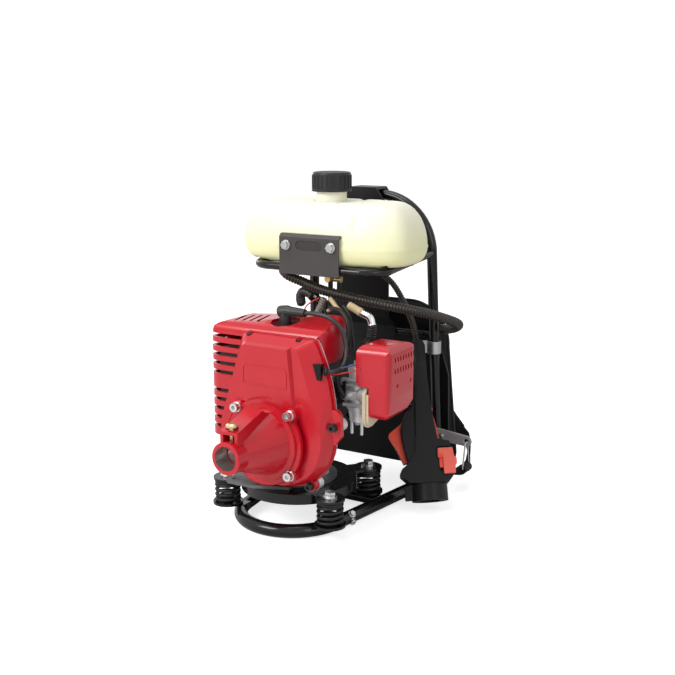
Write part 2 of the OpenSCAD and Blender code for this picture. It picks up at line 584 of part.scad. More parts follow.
module front_cover() color("crimson") difference() {
    union() {
        hull() {
            face_slice(-2.5, ridge_y);
            face_slice(0, ridge_y + 2.5);
            joint_slice(0, cover_rear - 6);
        }
        along_y(cover_rear - 6, cover_rear) polygon(joint_outline(0));
        along_y(cover_rear - 3, cover_rear) polygon(joint_outline(2));
        hull() {
            panel_slice(-3, bolt_face);
            panel_slice(-0.5, ridge_y + 1);
        }
        for (p = ear_at) cyl_y(7, cover_rear - 8, cover_rear, p.x, p.y);
        along_y(cover_rear - 6, cover_rear) polygon([[70, crank_z + 44], [84, crank_z + 44], [89, crank_z + 38],
            [90, crank_z + 14], [82, crank_z + 4], [70, crank_z + 4]]);
        for (p = clutch_bolts) cyl_y(8, bolt_face, bolt_face + 14, p.x, p.y);
        for (p = roof_screw) translate([p.x, p.y, chimney_top - 8]) cylinder(r = 4.5, h = 5);
        // raised border of a bare plate on the chimney
        difference() {
            along_y(bolt_face - 0.6, bolt_face + 1) polygon(rounded(-30, plate_low, 29.5, plate_low + 23, 3, 3));
            along_y(bolt_face - 1, bolt_face + 2)
                polygon(rounded(-28.8, plate_low + 1.2, 28.3, plate_low + 21.8, 2, 3));
        }
    }
    difference() {
        hull() {
            face_slice(-2.5 - cover_wall, ridge_y + cover_wall);
            face_slice(-cover_wall, ridge_y + 2 + cover_wall);
            joint_slice(-cover_wall, cover_rear - 5);
            joint_slice(-cover_wall, cover_rear + 1);
        }
        for (p = clutch_bolts) cyl_y(8, bolt_face - 1, bolt_face + 14, p.x, p.y);
        for (p = roof_screw) translate([p.x, p.y, chimney_top - 12]) cylinder(r = 4.5, h = 20);
    }
    // the clutch passes through the front
    cyl_y(42, bolt_face - 2, bolt_face + 8, 0, crank_z);
    for (p = ear_at) cyl_y(2.6, cover_rear - 12, cover_rear + 1, p.x, p.y);
    for (p = ear_at) cyl_y(5.6, bolt_face - 2, cover_rear - 8, p.x, p.y);
    for (p = clutch_bolts) cyl_y(3.2, bolt_face - 2, bolt_face + 11, p.x, p.y);
    for (p = roof_screw) translate([p.x, p.y, chimney_top - 14]) cylinder(r = 1.8, h = 20);
    for (p = roof_screw) translate([p.x, p.y, chimney_top - 3]) cylinder(r = 4, h = 10);
}
plate_low = crank_z + 64;

flange_front = bolt_face - 4;
cone_base = flange_front - 4;
cone_front = cone_base - 46;
socket_front = -188;
wedge_w = 23;
wedge_z = crank_z + 28.5;
wedge_back = flange_front - 17;
bearing_r = 13;
bearing_y = cone_front + 8;
latch_y = socket_front + 13;
latch_r = 2.5;
stop_r = socket_bore / 2 - 1.4;            // a low ledge stops the tube and keeps the drum's bearing in its seat
module clutch_housing() color("crimson") difference() {
    union() {
        // stepped flange, cone and tube in one turned form
        about_crank() polygon([
            [0, gap - bolt_face], [clutch_flange_r, gap - bolt_face], [clutch_flange_r, 0.8 - flange_front],
            [clutch_flange_r - 0.8, -flange_front], [clutch_flange_r - 6, -flange_front],
            [clutch_flange_r - 7, 3 - flange_front], [38, -cone_base], [socket_d / 2 + 2, -cone_front],
            [socket_d / 2, 5 - cone_front], [socket_d / 2, -socket_front - 1],
            [socket_d / 2 - 1, -socket_front], [0, -socket_front]]);
        // corner lugs under the bolts
        for (p = clutch_bolts) cyl_y(8, flange_front, bolt_face - gap, p.x, p.y);
        // wedge on top of the socket carries the shaft latch
        along_x(-wedge_w / 2, wedge_w / 2) polygon([
            [socket_front + 7, crank_z + 9], [socket_front + 7, wedge_z], [wedge_back, wedge_z + 14],
            [wedge_back + 4, wedge_z + 11], [flange_front - 2, wedge_z + 8], [flange_front - 2, crank_z + 25],
            [cone_front, crank_z + 9]]);
    }
    // bore of the drive socket, the drum bearing's seat, and the inside of the cone
    about_crank() polygon([
        [0, -bolt_face - 1], [41, -bolt_face - 1], [41, -flange_front - 1], [34, 1 - cone_base],
        [25, -bearing_y - 10], [bearing_r, -bearing_y - 9], [bearing_r, -bearing_y], [stop_r, -bearing_y],
        [stop_r, -socket_front - socket_depth], [socket_bore / 2, -socket_front - socket_depth],
        [socket_bore / 2, -socket_front + 1], [0, -socket_front + 1]]);
    // pocket in the wedge's front, and the latch's way down into the bore
    translate([-7.5, socket_front + 6, wedge_z - 12.5]) cube([15, 12, 9]);
    translate([0, latch_y, crank_z + 5]) cylinder(r = latch_r + fit, h = 60);
    translate([0, latch_y, wedge_z + 1]) cylinder(r = 7.2, h = 20);
    for (p = clutch_bolts) cyl_y(3.2, flange_front - 1, bolt_face + 1, p.x, p.y);
    for (p = clutch_bolts) cyl_y(6.4, flange_front - 9, flange_front, p.x, p.y);
}

module shaft_latch() color("khaki") translate([0, latch_y, 0]) {
    translate([0, 0, crank_z + socket_bore / 2 + gap])
        cylinder(r = latch_r, h = wedge_z + 5 - crank_z - socket_bore / 2);
    translate([0, 0, wedge_z + 4.5]) cylinder(d = 13, h = 2.6);
    translate([0, 0, wedge_z + 7.1 - eps]) cylinder(d1 = 12, d2 = 8, h = 1.4);
}

case_r = 41;
module crankcase() color("silver") difference() {
    union() {
        along_y(case_front, case_front + 2.4) polygon(joint_outline(1));
        for (p = ear_at) cyl_y(7.5, case_front, case_front + 9, p.x, p.y);
        cyl_y(case_r, case_front, case_rear);
        // foot and deck
        translate([-34, -83, table_z + table_t]) cube([68, 53, 30]);
        translate([-28, jug.y - 24, crank_z + 20]) cube([56, 48, deck_z - crank_z - 20]);
        // stiffening ribs above the foot
        for (x = [-26, -9, 9, 26]) translate([x - 1.5, -80, crank_z - 50]) cube([3, 50, 60]);
    }
    cyl_y(33, jug.y - 18, jug.y + 18);
    cyl_y(8 + fit, case_front - 1, case_rear + 1);
    cyl_y(13, -83, jug.y - 17);
    translate([jug.x, jug.y, crank_z]) cylinder(d = bore_d + 6, h = 60);
    translate([pivot.x, pivot.y, table_z]) cylinder(d = pivot_d + 3, h = 14);
    // the back plate's window lets the air through to the fins
    along_y(case_front - 1, case_front + 8) polygon(rounded(-18, crank_z + 54, 40, crank_z + 110, 8));
    for (p = ear_at) cyl_y(2.6, case_front - 1, case_front + 7, p.x, p.y);
}

head_z = deck_z + 70;
module cylinder_fins() for (i = [0:fin_count - 1])
    translate([jug.x, jug.y, deck_z + 8 + i * (head_z - deck_z - 12) / (fin_count - 1)])
        linear_extrude(2.2) polygon(rounded(-36, -24, 36, 24, 8));
module cylinder_part() difference() {
    union() {
        translate([jug.x, jug.y, deck_z + gap]) cylinder(d = bore_d + 12, h = head_z - deck_z - gap);
        translate([jug.x, jug.y, deck_z + gap]) linear_extrude(5) polygon(rounded(-28, -24, 28, 24, 5));
        translate([jug.x, jug.y, crank_z + 34]) cylinder(d = bore_d + 5, h = deck_z - crank_z - 33);
        cylinder_fins();
        // intake flange on the right, exhaust flange on the left
        translate([10, intake_y - 14, deck_z + gap]) cube([29, 28, 20]);
        translate([-39, jug.y - 16, exhaust_z - 12]) cube([19, 32, 24]);
    }
    translate([jug.x, jug.y, crank_z + 30]) cylinder(d = bore_d, h = head_z - crank_z - 30 - 12);
    translate([jug.x, jug.y, head_z - 16]) cylinder(d1 = bore_d - 4, d2 = 12, h = 8);
    translate([plug_x, jug.y, head_z - 20]) cylinder(r = 5 + fit, h = 30);
    cyl_x(7, 5, 40, intake_y, port_z);
    cyl_x(9, -40, -10, jug.y, exhaust_z);
}
port_z = deck_z + 9;
exhaust_z = deck_z + 16;
intake_y = -42;
module cylinder_node() color("gray") cylinder_part();

// ---------- shroud ----------
shroud_l = -101;
shroud_r = 60;
shroud_f = -87;
shroud_b = -22;
shroud_top = 248;
shroud_low = 98;
shroud_sill = 200;
// Front view of the shroud: deep on the exhaust side, shallow on the intake side; inside it stays open below
function shroud_front(g) = let (low = g > 0 ? 8 : 0) concat(
    [[shroud_l + 2 + g, shroud_low - low], [shroud_l + 38 + low, shroud_low - low],
        [shroud_l + 42 + low, 158 - low], [-46 + low, shroud_sill - low], [shroud_r - g, shroud_sill - low]],
    arc([shroud_r - 16, shroud_top - 17], 16 - g, 0, 88, 5),
    arc([shroud_l + 26, shroud_top - 33], 22 - g, 84, 172, 8), [[shroud_l + g, 160]]);
function shroud_side(g) = concat([[shroud_f + g, shroud_low - 9], [shroud_b - g, shroud_low - 9]],
    arc([shroud_b - 8, shroud_top - 9], 8 - g, 0, 84, 4), arc([shroud_f + 13, shroud_top - 22], 13 - g, 98, 180, 6));
function shroud_plan(g) = concat(arc([shroud_r - 12, shroud_f + 12], 12 - g, -90, 0, 5),
    arc([shroud_r - 8, shroud_b - 8], 8 - g, 0, 90, 4), arc([shroud_l + 14, shroud_b - 14], 14 - g, 90, 180, 6),
    arc([shroud_l + 18, shroud_f + 18], 18 - g, 180, 270, 7));
module shroud_solid(g) intersection() {
    along_y(shroud_f - 1, shroud_b + 1) polygon(shroud_front(g));
    along_x(shroud_l - 1, shroud_r + 1) polygon(shroud_side(g));
    translate([0, 0, shroud_low - 10]) linear_extrude(shroud_top - shroud_low + 12) polygon(shroud_plan(g));
}
louvre_low = 107.5;
louvre_pitch = (shroud_top - 30 - louvre_low) / (louvre_count - 1);
plug_x = -8;
module cylinder_shroud() color("crimson") difference() {
    shroud_solid(0);
    shroud_solid(cover_wall);
    // the fan blows in at the front, behind the fan cover
    translate([-30, shroud_f - 5, shroud_sill - 10]) cube([76, 10, 28]);
    // hole round the spark plug cap, open towards the front edge
    translate([plug_x + 4, jug.y - 5, head_z]) cylinder(d = 34, h = 60);
    // louvres across the front and round the exhaust side; one bar stays closed
    for (i = [0:louvre_count - 1]) if (i != louvre_shut)
        translate([shroud_l - 2, shroud_f - 2, louvre_low + i * louvre_pitch]) cube([58, 36, louvre_pitch * 0.42]);
    // slanting slots in the top
    for (i = [0:3]) translate([-70 + i * 11, shroud_f + 12, 220]) rotate([0, 0, 15]) cube([4, 42, 40]);
}
louvre_shut = 5;

// ---------- starter ----------
start_y = case_rear + gap;
start_r = 44;
module starter_housing() color("dimgray") difference() {
    union() {
        about_crank() polygon([[0, -start_y], [start_r, -start_y], [start_r, -start_y - 14],
            [start_r - 5, -start_y - 22], [start_r - 12, -start_y - 24], [0, -start_y - 24]]);
        // the rope leaves at the top, through a bent guide tube
        translate([guide_path[0].x, guide_path[0].y, crank_z + 34]) cylinder(d = guide_d + 5, h = 12);
        hose(guide_path, guide_d, 10);
    }
    cyl_y(start_r - 6, start_y - 1, start_y + 17);
    translate([guide_path[0].x, guide_path[0].y, crank_z + 20]) cylinder(d = 5, h = 24);
    // ring of cooling slots
    for (i = [0:11]) rotate_about_crank(i * 30) translate([22, start_y + 14, -2]) cube([12, 14, 4]);
    cyl_y(4 + fit, start_y - 1, start_y + 22);
}
module rotate_about_crank(a) translate([0, 0, crank_z]) rotate([0, a, 0]) children();

pulley_r = 26;
module starter_pulley() color("black") difference() {
    union() {
        about_crank() polygon([[0, -start_y - 3], [pulley_r + 4, -start_y - 3], [pulley_r + 4, -start_y - 5],
            [pulley_r, -start_y - 6], [pulley_r, -start_y - 9], [pulley_r + 4, -start_y - 10],
            [pulley_r + 4, -start_y - 12], [0, -start_y - 12]]);
        cyl_y(4, start_y + 1, start_y + 21);
    }
    for (i = [0:4]) rotate_about_crank(i * 72) cyl_y_local(5, start_y + 2, start_y + 13, 16);
}
module cyl_y_local(r, y0, y1, x, z = 0) translate([x, y1, z]) rotate([90, 0, 0]) cylinder(r = r, h = y1 - y0);

rope_d = 3.4;
guide_d = 8;
grip_d = 12;
pull_dir = unit([-0.94, 0, 0.34]);
grip_start = [-12, 10, 259];
guide_path = [[10, -10, 150], [10, -6, 168], [10, 0, 195], [10, 5, 222], [9, 9, 238], [6, 10, 247], [0, 10, 253.5],
    [-7, 10, 257]];
module starter_rope() color("white") rod(grip_start - 5 * pull_dir, grip_start + 3.3 * pull_dir, rope_d);
module starter_grip() color("black") {
    // round collar where the rope goes in, then a curved rubber grip that hooks downwards
    translate(grip_start) rotate([0, -acos(pull_dir.z), 0]) difference() {
        cylinder(d = grip_d + 1.5, h = 4);
        translate([0, 0, -1]) cylinder(d = rope_d + 0.6, h = 6);
    }
    hose([for (p = [[3.6, 0], [9, 0.5], [14, -0.5], [18, -4], [20, -9.5], [19.5, -15], [17, -20]])
        grip_start + p.x * pull_dir + [0, 0, p.y]], grip_d, 10);
}

// ---------- exhaust, intake ----------
module muffler() color("gray") difference() {
    union() {
        intersection() {
            along_y(shroud_f + cover_wall + 3, shroud_b - cover_wall - 3)
                polygon(rounded(shroud_l + cover_wall + 5, 112, -47, 205, 12));
            translate([0, 0, 100]) linear_extrude(120)
                polygon(rounded(shroud_l + cover_wall + 5, shroud_f + 7, -47, shroud_b - 7, 12));
        }
        cyl_x(11, -50, -39 - gap, jug.y, exhaust_z);
    }
    cyl_x(7, -60, -38, jug.y, exhaust_z);
    translate([-66, shroud_b - 8 - cover_wall, 130]) rotate([-90, 0, 0]) cylinder(d = 9, h = 14);
}

carb_x = 80;
carb_z = port_z - 2;
module intake_manifold() color("black") difference() {
    union() {
        translate([39 + gap, intake_y - 14, deck_z + gap]) cube([4, 28, 20]);
        cyl_x(11, 40, carb_x - 16, intake_y, port_z);
        translate([carb_x - 19, intake_y - 14, port_z - 12]) cube([3, 28, 24]);
    }
    cyl_x(7, 38, carb_x - 10, intake_y, port_z);
}

slide_r = 7;
barrel_r = 10;
module carburettor() color("silver") difference() {
    union() {
        cyl_x(11, carb_x - 16 + gap, base_x - gap, intake_y, port_z);
        translate([carb_x, intake_y, port_z - 13]) cylinder(r = barrel_r, h = 38);
        translate([carb_x, intake_y, port_z + 25 - eps]) cylinder(r = barrel_r + 1, h = 7);
        translate([carb_x, intake_y, port_z + 32 - 2 * eps]) cylinder(r = 4.5, h = 6);
        // pads for the stop screw, the fuel pipe and the primer
        translate([carb_x - 6, intake_y - 16, port_z - 4]) cube([12, 8, 9]);
        cyl_y(2.5, intake_y - 22, intake_y - 15, carb_x - 2, port_z + 1);
        translate([carb_x - 13, intake_y - 12, port_z - 14]) cube([26, 24, 4]);
        // bracket that the choke turns in
        translate([carb_x - 14, intake_y - 14, port_z + 11]) cube([24, 6, 8]);
    }
    cyl_x(7, carb_x - 17, base_x + 1, intake_y, port_z);
    translate([carb_x, intake_y, port_z - 8]) cylinder(r = slide_r + fit, h = 36);
    translate([carb_x, intake_y, port_z + 27]) cylinder(r = 1.5, h = 14);
    translate([carb_x - 12, intake_y - 15, port_z + 13]) cube([20, 5, 4]);
}
module throttle_slide() color("silver") difference() {
    translate([carb_x, intake_y, port_z - 7.6]) cylinder(r = slide_r, h = 25);
    translate([carb_x, intake_y, port_z + 3]) cylinder(r = 4, h = 20);
}
bowl_top = port_z - 14 - gap;
module float_bowl() color("silver") translate([carb_x, intake_y, 0]) difference() {
    union() {
        translate([0, 0, bowl_top - 3]) cylinder(r = 12.5, h = 3);
        translate([0, 0, bowl_top - 18]) cylinder(r1 = 9, r2 = 11, h = 15 + eps);
        translate([0, 0, bowl_top - 23]) cylinder(d = 7, h = 6, $fn = 6);
        // drain and vent stubs
        for (s = [-1, 1]) translate([s * 6.5, -2, bowl_top - 34]) cylinder(d = 3.6, h = 18);
    }
    translate([0, 0, bowl_top - 15]) cylinder(r = 8, h = 16);
}

base_x = 99;
base_t = 4;
lip_t = 3;
filter_lo = [-66, 128];
filter_hi = [3, 213];
lip_top = 176;                          // above this the cover reaches round the base plate
module air_cleaner_base() color("wheat") difference() {
    union() {
        along_x(base_x, base_x + base_t) polygon(concat(
            arc(filter_lo + [12, 12], 12, 180, 270, 5), arc([filter_hi.x - 14, filter_lo.y + 26], 12, -60, 0, 4),
            arc(filter_hi - [20, 12], 12, 0, 90, 4), arc([filter_lo.x + 18, filter_hi.y - 12], 12, 90, 180, 4),
            [[filter_lo.x + 6, lip_top - 1], [filter_lo.x, lip_top - 7]]));
        along_x(base_x + base_t - eps, base_x + base_t + lip_t) polygon(concat(
            arc(filter_lo + [12, 12], 10, 180, 270, 5), arc([filter_hi.x - 14, filter_lo.y + 26], 10, -60, 0, 4),
            [[filter_hi.x - 4, lip_top - 8], [filter_lo.x + 2, lip_top - 8]]));
    }
    cyl_x(8, base_x - 1, base_x + 10, intake_y, port_z);
    along_x(base_x + base_t, base_x + base_t + 5)
        polygon(rounded(filter_lo.x + 5, filter_lo.y + 12, filter_hi.x - 16, 200, 7));
}
cover_x = 132;
cover_f = -64;
cover_b = 4;
cover_lo = 138;
cover_hi = 226;
function cover_side(g) = concat(arc([cover_f + 9, cover_lo + 11], 9 - g, 180, 262, 4),
    [[cover_b - 26, cover_lo + 4 + g]], arc([cover_b - 10, cover_lo + 25], 10 - g, -45, 0, 3),
    arc([cover_b - 20, cover_hi - 24], 20 - g, 0, 80, 6), arc([cover_f + 14, cover_hi - 15], 14 - g, 96, 180, 6));
function cover_front(g) = concat([[base_x + base_t + gap, cover_lo - 1], [cover_x - 10, cover_lo - 1]],
    [[cover_x - 2 - g, cover_lo + 8], [cover_x - g, cover_lo + 30]],
    arc([cover_x - 14, cover_hi - 14], 14 - g, 0, 86, 6),
    arc([100, cover_hi - 12], 10 - g, 94, 175, 4), [[90 + g, 181], [93, lip_top + 1], [base_x + base_t + gap, lip_top - 2]]);
module air_solid(g) intersection() {
    along_x(88, cover_x + 1) polygon(cover_side(g));
    along_y(cover_f - 1, cover_b + 1) polygon(cover_front(g));
    translate([0, 0, cover_lo - 2]) linear_extrude(cover_hi - cover_lo + 4)
        polygon(concat([[88, cover_f + g], [88, cover_b - g]],
            arc([cover_x - 12, cover_b - 12], 12 - g, 90, 0, 5), arc([cover_x - 8, cover_f + 8], 8 - g, 0, -90, 5)));
}
module air_cleaner_cover() color("crimson") difference() {
    air_solid(0);
    air_solid(2.5);
    // clear of the base plate and its lip
    along_x(80, base_x + base_t + lip_t + gap) polygon(rounded(filter_lo.x - 1, filter_lo.y - 1,
        filter_hi.x + 1, lip_top, 3));
    // open towards the carburettor
    translate([80, cover_f + 2.5, lip_top - 6]) cube([base_x + base_t + gap - 80, cover_b - cover_f - 6, 38]);
    // two rows of air slots in the side
    for (i = [0:7], r = [0, 1])
        translate([cover_x - 5, cover_f + 14 + i * 6.4, 192 + r * 13]) rotate([14, 0, 0]) cube([8, 2.4, 6]);
    for (y = [-44, -12]) cyl_x(2.2, cover_x - 1, cover_x + 2, y, 178);
}
module air_filter() color("khaki") along_x(base_x + base_t + lip_t + 2 * gap, cover_x - 6)
    polygon(rounded(cover_f + 6, 150, cover_b - 12, cover_hi - 20, 8));

choke_y = intake_y - 16;
module choke_lever() color("black") {
    cyl_y(2, choke_y - 3, intake_y - 14 - gap, carb_x - 8, port_z + 15);
    translate([carb_x - 10, choke_y - 3, port_z - 3]) cube([4, 2, 19]);
}

// Cable over the carburettor: ribbed boot, bright elbow, adjuster sleeve
elbow_path = [[80, -42, 200.4], [80, -41.5, 204], [81, -29, 213], [83, -20, 219], [84, -17, 228], [84, -17, 238],
    [81, -17, 246], [72, -17.5, 250], [62, -19, 255], [54, -21, 259]];
module cable_elbow() color("silver") {
    hose([for (i = [0:9]) elbow_path[i]], 7, 10);
    hose([for (i = [2:5]) elbow_path[i]], 11, 10);
    hose([for (i = [7:9]) elbow_path[i]], 10, 10);
}

// ---------- ignition ----------
module spark_plug() color("white") translate([plug_x, jug.y, 0]) {
    translate([0, 0, head_z - 14]) cylinder(r = 5, h = 16);
    translate([0, 0, head_z + gap]) cylinder(d = 15, h = 6, $fn = 6);
    translate([0, 0, head_z + 6]) cylinder(d = 8, h = 10);
}
lead_z = shroud_top + 3;
// The lead's route: out of the cap, over the shroud's edge, then forward to its clip on the fan cover
lead_path = [[16, -59, 251], [26, -60, 252.5], [38, -61, 252.5], [50, -61, 251], [60, -60, 246], [67, -58, 238],
    [71, -57, 228], [74, -58, 217], [76, -63, 206], [77, -72, 199], [78, -83, 197], [77, -93, 197.5], [71, -99, 198]];
module ht_lead() color("black") {
    difference() {
        union() {
            translate([plug_x, jug.y, head_z + 9]) cylinder(d = 14, h = 10);
            translate([plug_x, jug.y, head_z + 19 - eps]) cylinder(d1 = 14, d2 = 17, h = lead_z - head_z - 19);
            translate([plug_x, jug.y, lead_z - 1]) sphere(d = 14);
            rod([plug_x - 2, jug.y, lead_z], [22, jug.y - 1, lead_z], 11);
        }
        translate([plug_x, jug.y, head_z]) cylinder(d = 8.4, h = 16.4);
    }
    hose(lead_path, 5.5, 8);
}
// Clip and socket for the lead on the slanting side of the fan cover
module ignition_coil() color("black") difference() {
    translate([56, -103, 188]) cube([12, 9, 18]);
    hull() {
        face_slice(1, ridge_y);
        joint_slice(1, cover_rear - 6);
        joint_slice(1, cover_rear);
    }
}

// ---------- crank train ----------
stroke = 28;
piston_d = bore_d - 0.1;
pin_z = crank_z + 14 + 46;
module piston() color("silver") difference() {
    translate([jug.x, jug.y, pin_z - 13]) cylinder(d = piston_d, h = 30);
    translate([jug.x, jug.y, pin_z - 14]) cylinder(d = piston_d - 7, h = 24);
}
module connecting_rod() color("gray") difference() {
    union() {
        cyl_y(8, jug.y - 4, jug.y + 4, 0, crank_z + stroke / 2);
        cyl_y(6, jug.y - 4, jug.y + 4, 0, pin_z);
        translate([-4, jug.y - 3, crank_z + stroke / 2]) cube([8, 6, pin_z - crank_z - stroke / 2]);
        // piston pin
        cyl_y(4, jug.y - 13, jug.y + 13, 0, pin_z);
    }
    // the big end is open round the crankpin's whole circle, so that the pin can turn past it
    cyl_y(stroke / 2 + 5.5, jug.y - 6, jug.y + 6);
}
module crankshaft() color("silver") {
    cyl_y(7.9, -106, jug.y - 6);
    cyl_y(7.9, jug.y + 6, case_rear - 1);
    for (s = [-1, 1]) difference() {
        cyl_y(29, jug.y - 13, jug.y + 13);
        cyl_y(30, jug.y - 6, jug.y + 6);
    }
    cyl_y(5, jug.y - 7, jug.y + 7, 0, crank_z + stroke / 2);
    cyl_y(5, -116, -106);
}
fan_r = 46;
module flywheel() color("gray") difference() {
    union() {
        cyl_y(fan_r - 8, -98, -93);
        cyl_y(14, -104, -93);
        // fan blades
        for (i = [0:11]) rotate_about_crank(i * 30) translate([16, -104, -1.2]) cube([fan_r - 17, 8, 2.4]);
    }
    cyl_y(7.9 + fit, -105, -92);
}
drum_r = 29.5;
drum_front = cone_base - 8;
module clutch_shoes() color("gray") {
    difference() {
        cyl_y(26, drum_front + 3, bolt_face + 3);
        cyl_y(13, drum_front + 2, bolt_face + 4);
        for (a = [0, 180]) rotate_about_crank(a) translate([12, drum_front, -4]) cube([16, 24, 8]);
    }
    difference() {
        cyl_y(12, drum_front + 4, -106 - gap);
        cyl_y(5 + fit, drum_front + 3, -105);
        cyl_y(10, -114, -105);
    }
    for (a = [90, 270]) rotate_about_crank(a) translate([11, drum_front + 5, -3]) cube([4, 8, 6]);
}
module clutch_drum() color("silver") difference() {
    about_crank() polygon([[0, -drum_front - 2], [drum_r - 1.5, -drum_front - 2], [drum_r - 1.5, -bolt_face - 2],
        [drum_r, -bolt_face - 2], [drum_r, -drum_front], [drum_r - 3, 1.5 - drum_front], [bearing_r - fit, 4 - drum_front],
        [bearing_r - fit, -bearing_y - 0.5], [0, -bearing_y - 0.5]]);
    cyl_y(4, bearing_y - 2, drum_front + 4);
}

module engine_bolts() color("silver") {
    for (p = clutch_bolts) translate([p.x, bolt_face + 8, p.y]) rotate([90, 0, 0])
        cap_bolt(6, bolt_face + 8 - flange_front);
    for (p = ear_at) translate([p.x, case_front + 6, p.y]) rotate([90, 0, 0])
        cap_bolt(5, case_front + 6 - cover_rear + 8);
    // dark screws down through the cover's roof
    for (p = roof_screw) {
        translate([p.x, p.y, chimney_top - 12]) cylinder(r = 1.5, h = 10);
        translate([p.x, p.y, chimney_top - 3 + gap]) cylinder(r = 3.2, h = 2.4);
    }
}

// ---------- throttle handle ----------
// The handle hangs from the clamp by its top and leans out to the front at its lower end
hand_top = [74, 118, 192];
hand_low = [131, 48, 12];
hand_v = hand_top - hand_low;
hand_tilt = acos(hand_v.z / norm(hand_v));
hand_turn = atan2(hand_v.y, hand_v.x);
module in_handle() translate(hand_low) rotate([0, 0, hand_turn]) rotate([0, hand_tilt, 0])
    rotate([0, 0, hand_face]) children();
hand_face = -98;
collar_r = pole_bore / 2 + 9;
// Side view of the grip, drawn as x across and y along the handle
hand_outline = concat([[-13, 21], [-24, 22]], arc([-26, 34], 8, 200, 110, 4), [[-20, 50], [-14, 62], [-12, 92],
    [-12, 140], [-10, handle_l - 8]], arc([0, handle_l - 8], 9, 170, 10, 6), [[8, 150], [9, 122], [12, 92], [14, 74],
    [28, 70], [33, 32], [24, 21]]);
module handle_solid() {
    linear_extrude_side(handle_t) polygon(hand_outline);
}
module linear_extrude_side(t) rotate([90, 0, 0]) translate([0, 0, -t / 2]) linear_extrude(t) children();
module handle_shell() intersection() {
    handle_solid();
    // the grip's sides are rounded in plan, slimmer at the top
    union() {
        cylinder(r = 40, h = 78);
        translate([0, 0, 78 - eps]) cylinder(r1 = 21, r2 = 12, h = handle_l);
    }
}
module lever_pocket() {
    // room for the trigger and the lockout between the two halves
    linear_extrude_side(12.6) polygon([[-30, 37], [-8, 37], [-2.6, 42], [-2.6, 108], [-30, 112]]);
    linear_extrude_side(12.6) polygon([[0, 68], [0, 120], [20, 122], [20, 66]]);
}
module pole_hole() translate([0, 0, -1]) cylinder(d = pole_bore, h = 35);
module half(s) translate([-60, s > 0 ? gap / 2 : -60 - gap / 2, -5]) cube([120, 60, 240]);

module handle_front() color("black") difference() {
    in_handle() difference() {
        intersection() {
            handle_shell();
            half(-1);
        }
        lever_pocket();
        pole_hole();
        switch_pocket();
    }
    ear_pocket();
}
module handle_rear() color("black") difference() {
    in_handle() {
        // pins that the trigger and the lockout turn on
        for (p = [trigger_pin, lock_pin]) cyl_y_local(1.6 - fit, -6, 7, p.x, p.y);
        handle_rear_shell();
    }
    ear_pocket();
}
module handle_rear_shell() difference() {
        union() {
            intersection() {
                handle_shell();
                half(1);
            }
            // full collar round the pole, with its clamp boss
            cylinder(r = collar_r, h = 20);
            translate([-30, -7, 2]) cube([14, 14, 16]);
        }
        lever_pocket();
        pole_hole();
        switch_pocket();
        translate([-40, 0, 10]) rotate([0, 90, 0]) cylinder(d = 5, h = 24);
}
trigger_pin = [-8, 98];
module throttle_trigger() color("orangered") in_handle() difference() {
    union() {
        linear_extrude_side(12) polygon(concat([[-24, 100], [-33, 93]], arc([-40, 82], 5, 110, 210, 4),
            [[-36, 64], [-29, 46], [-24, 47], [-18, 60], [-12, 76], [-7, 90], [-6, 102]]));
        translate([trigger_pin.x, 0, trigger_pin.y]) rotate([90, 0, 0]) translate([0, 0, -6]) cylinder(r = 5, h = 12);
    }
    translate([trigger_pin.x, 0, trigger_pin.y]) rotate([90, 0, 0]) translate([0, 0, -10]) cylinder(r = 1.6, h = 20);
}
lock_pin = [8, 112];
module lockout_lever() color("orangered") in_handle() difference() {
    union() {
        linear_extrude_side(12) polygon([[5, 116], [9.5, 117], [12, 104], [16, 84], [17, 74], [12, 74], [5, 98]]);
        translate([lock_pin.x, 0, lock_pin.y]) rotate([90, 0, 0]) translate([0, 0, -6]) cylinder(r = 4, h = 12);
    }
    translate([lock_pin.x, 0, lock_pin.y]) rotate([90, 0, 0]) translate([0, 0, -10]) cylinder(r = 1.6, h = 20);
}
module switch_pocket() translate([13, -handle_t / 2 - 1, 34]) cube([14, 5 + 1, 30]);
module stop_switch() color("orangered") in_handle() {
    translate([13.6, -handle_t / 2 - 2.5, 38]) cube([12.8, 7, 21]);
    translate([12, -handle_t / 2 - 5, 50]) cube([17, 3, 8]);
}

// ---------- clamp, bolts, conduits ----------
ear_turn = 32;      // the ear points along the handle's width
ear_reach = 27;
ear_w = 16;
clamp_h = high_bar_h - bar_d / 2 - ear_w / 2 - 2.5;
clamp_c = in_back([upright_x(clamp_h), 0, clamp_h]);
module at_clamp() translate(clamp_c) rotate([0, 0, ear_turn]) children();
module p_clamp() color("silver") at_clamp() difference() {
    union() {
        translate([0, 0, -ear_w / 2]) cylinder(d = upright_d + 4.6, h = ear_w);
        // ear that reaches behind the top of the handle
        translate([-ear_reach, 0.9, -ear_w / 2]) cube([ear_reach, 2.5, ear_w]);
    }
    translate([0, 0, -ear_w]) rotate([0, 0, 0]) cylinder(d = upright_d + 1.6, h = 2 * ear_w);
    translate([clamp_bolt_x, 5, 0]) rotate([90, 0, 0]) cylinder(r = 2.2, h = 8);
}
clamp_bolt_x = -21;
module ear_pocket() at_clamp() {
    translate([-ear_reach - gap, 0.9 - gap, -ear_w / 2 - gap]) cube([ear_reach, 16, ear_w + 2 * gap]);
    cylinder(d = upright_d + 4.6 + 2 * gap, h = ear_w + 2 * gap, center = true);
    translate([clamp_bolt_x, 2, 0]) rotate([90, 0, 0]) cylinder(r = 2.2, h = 12);
}

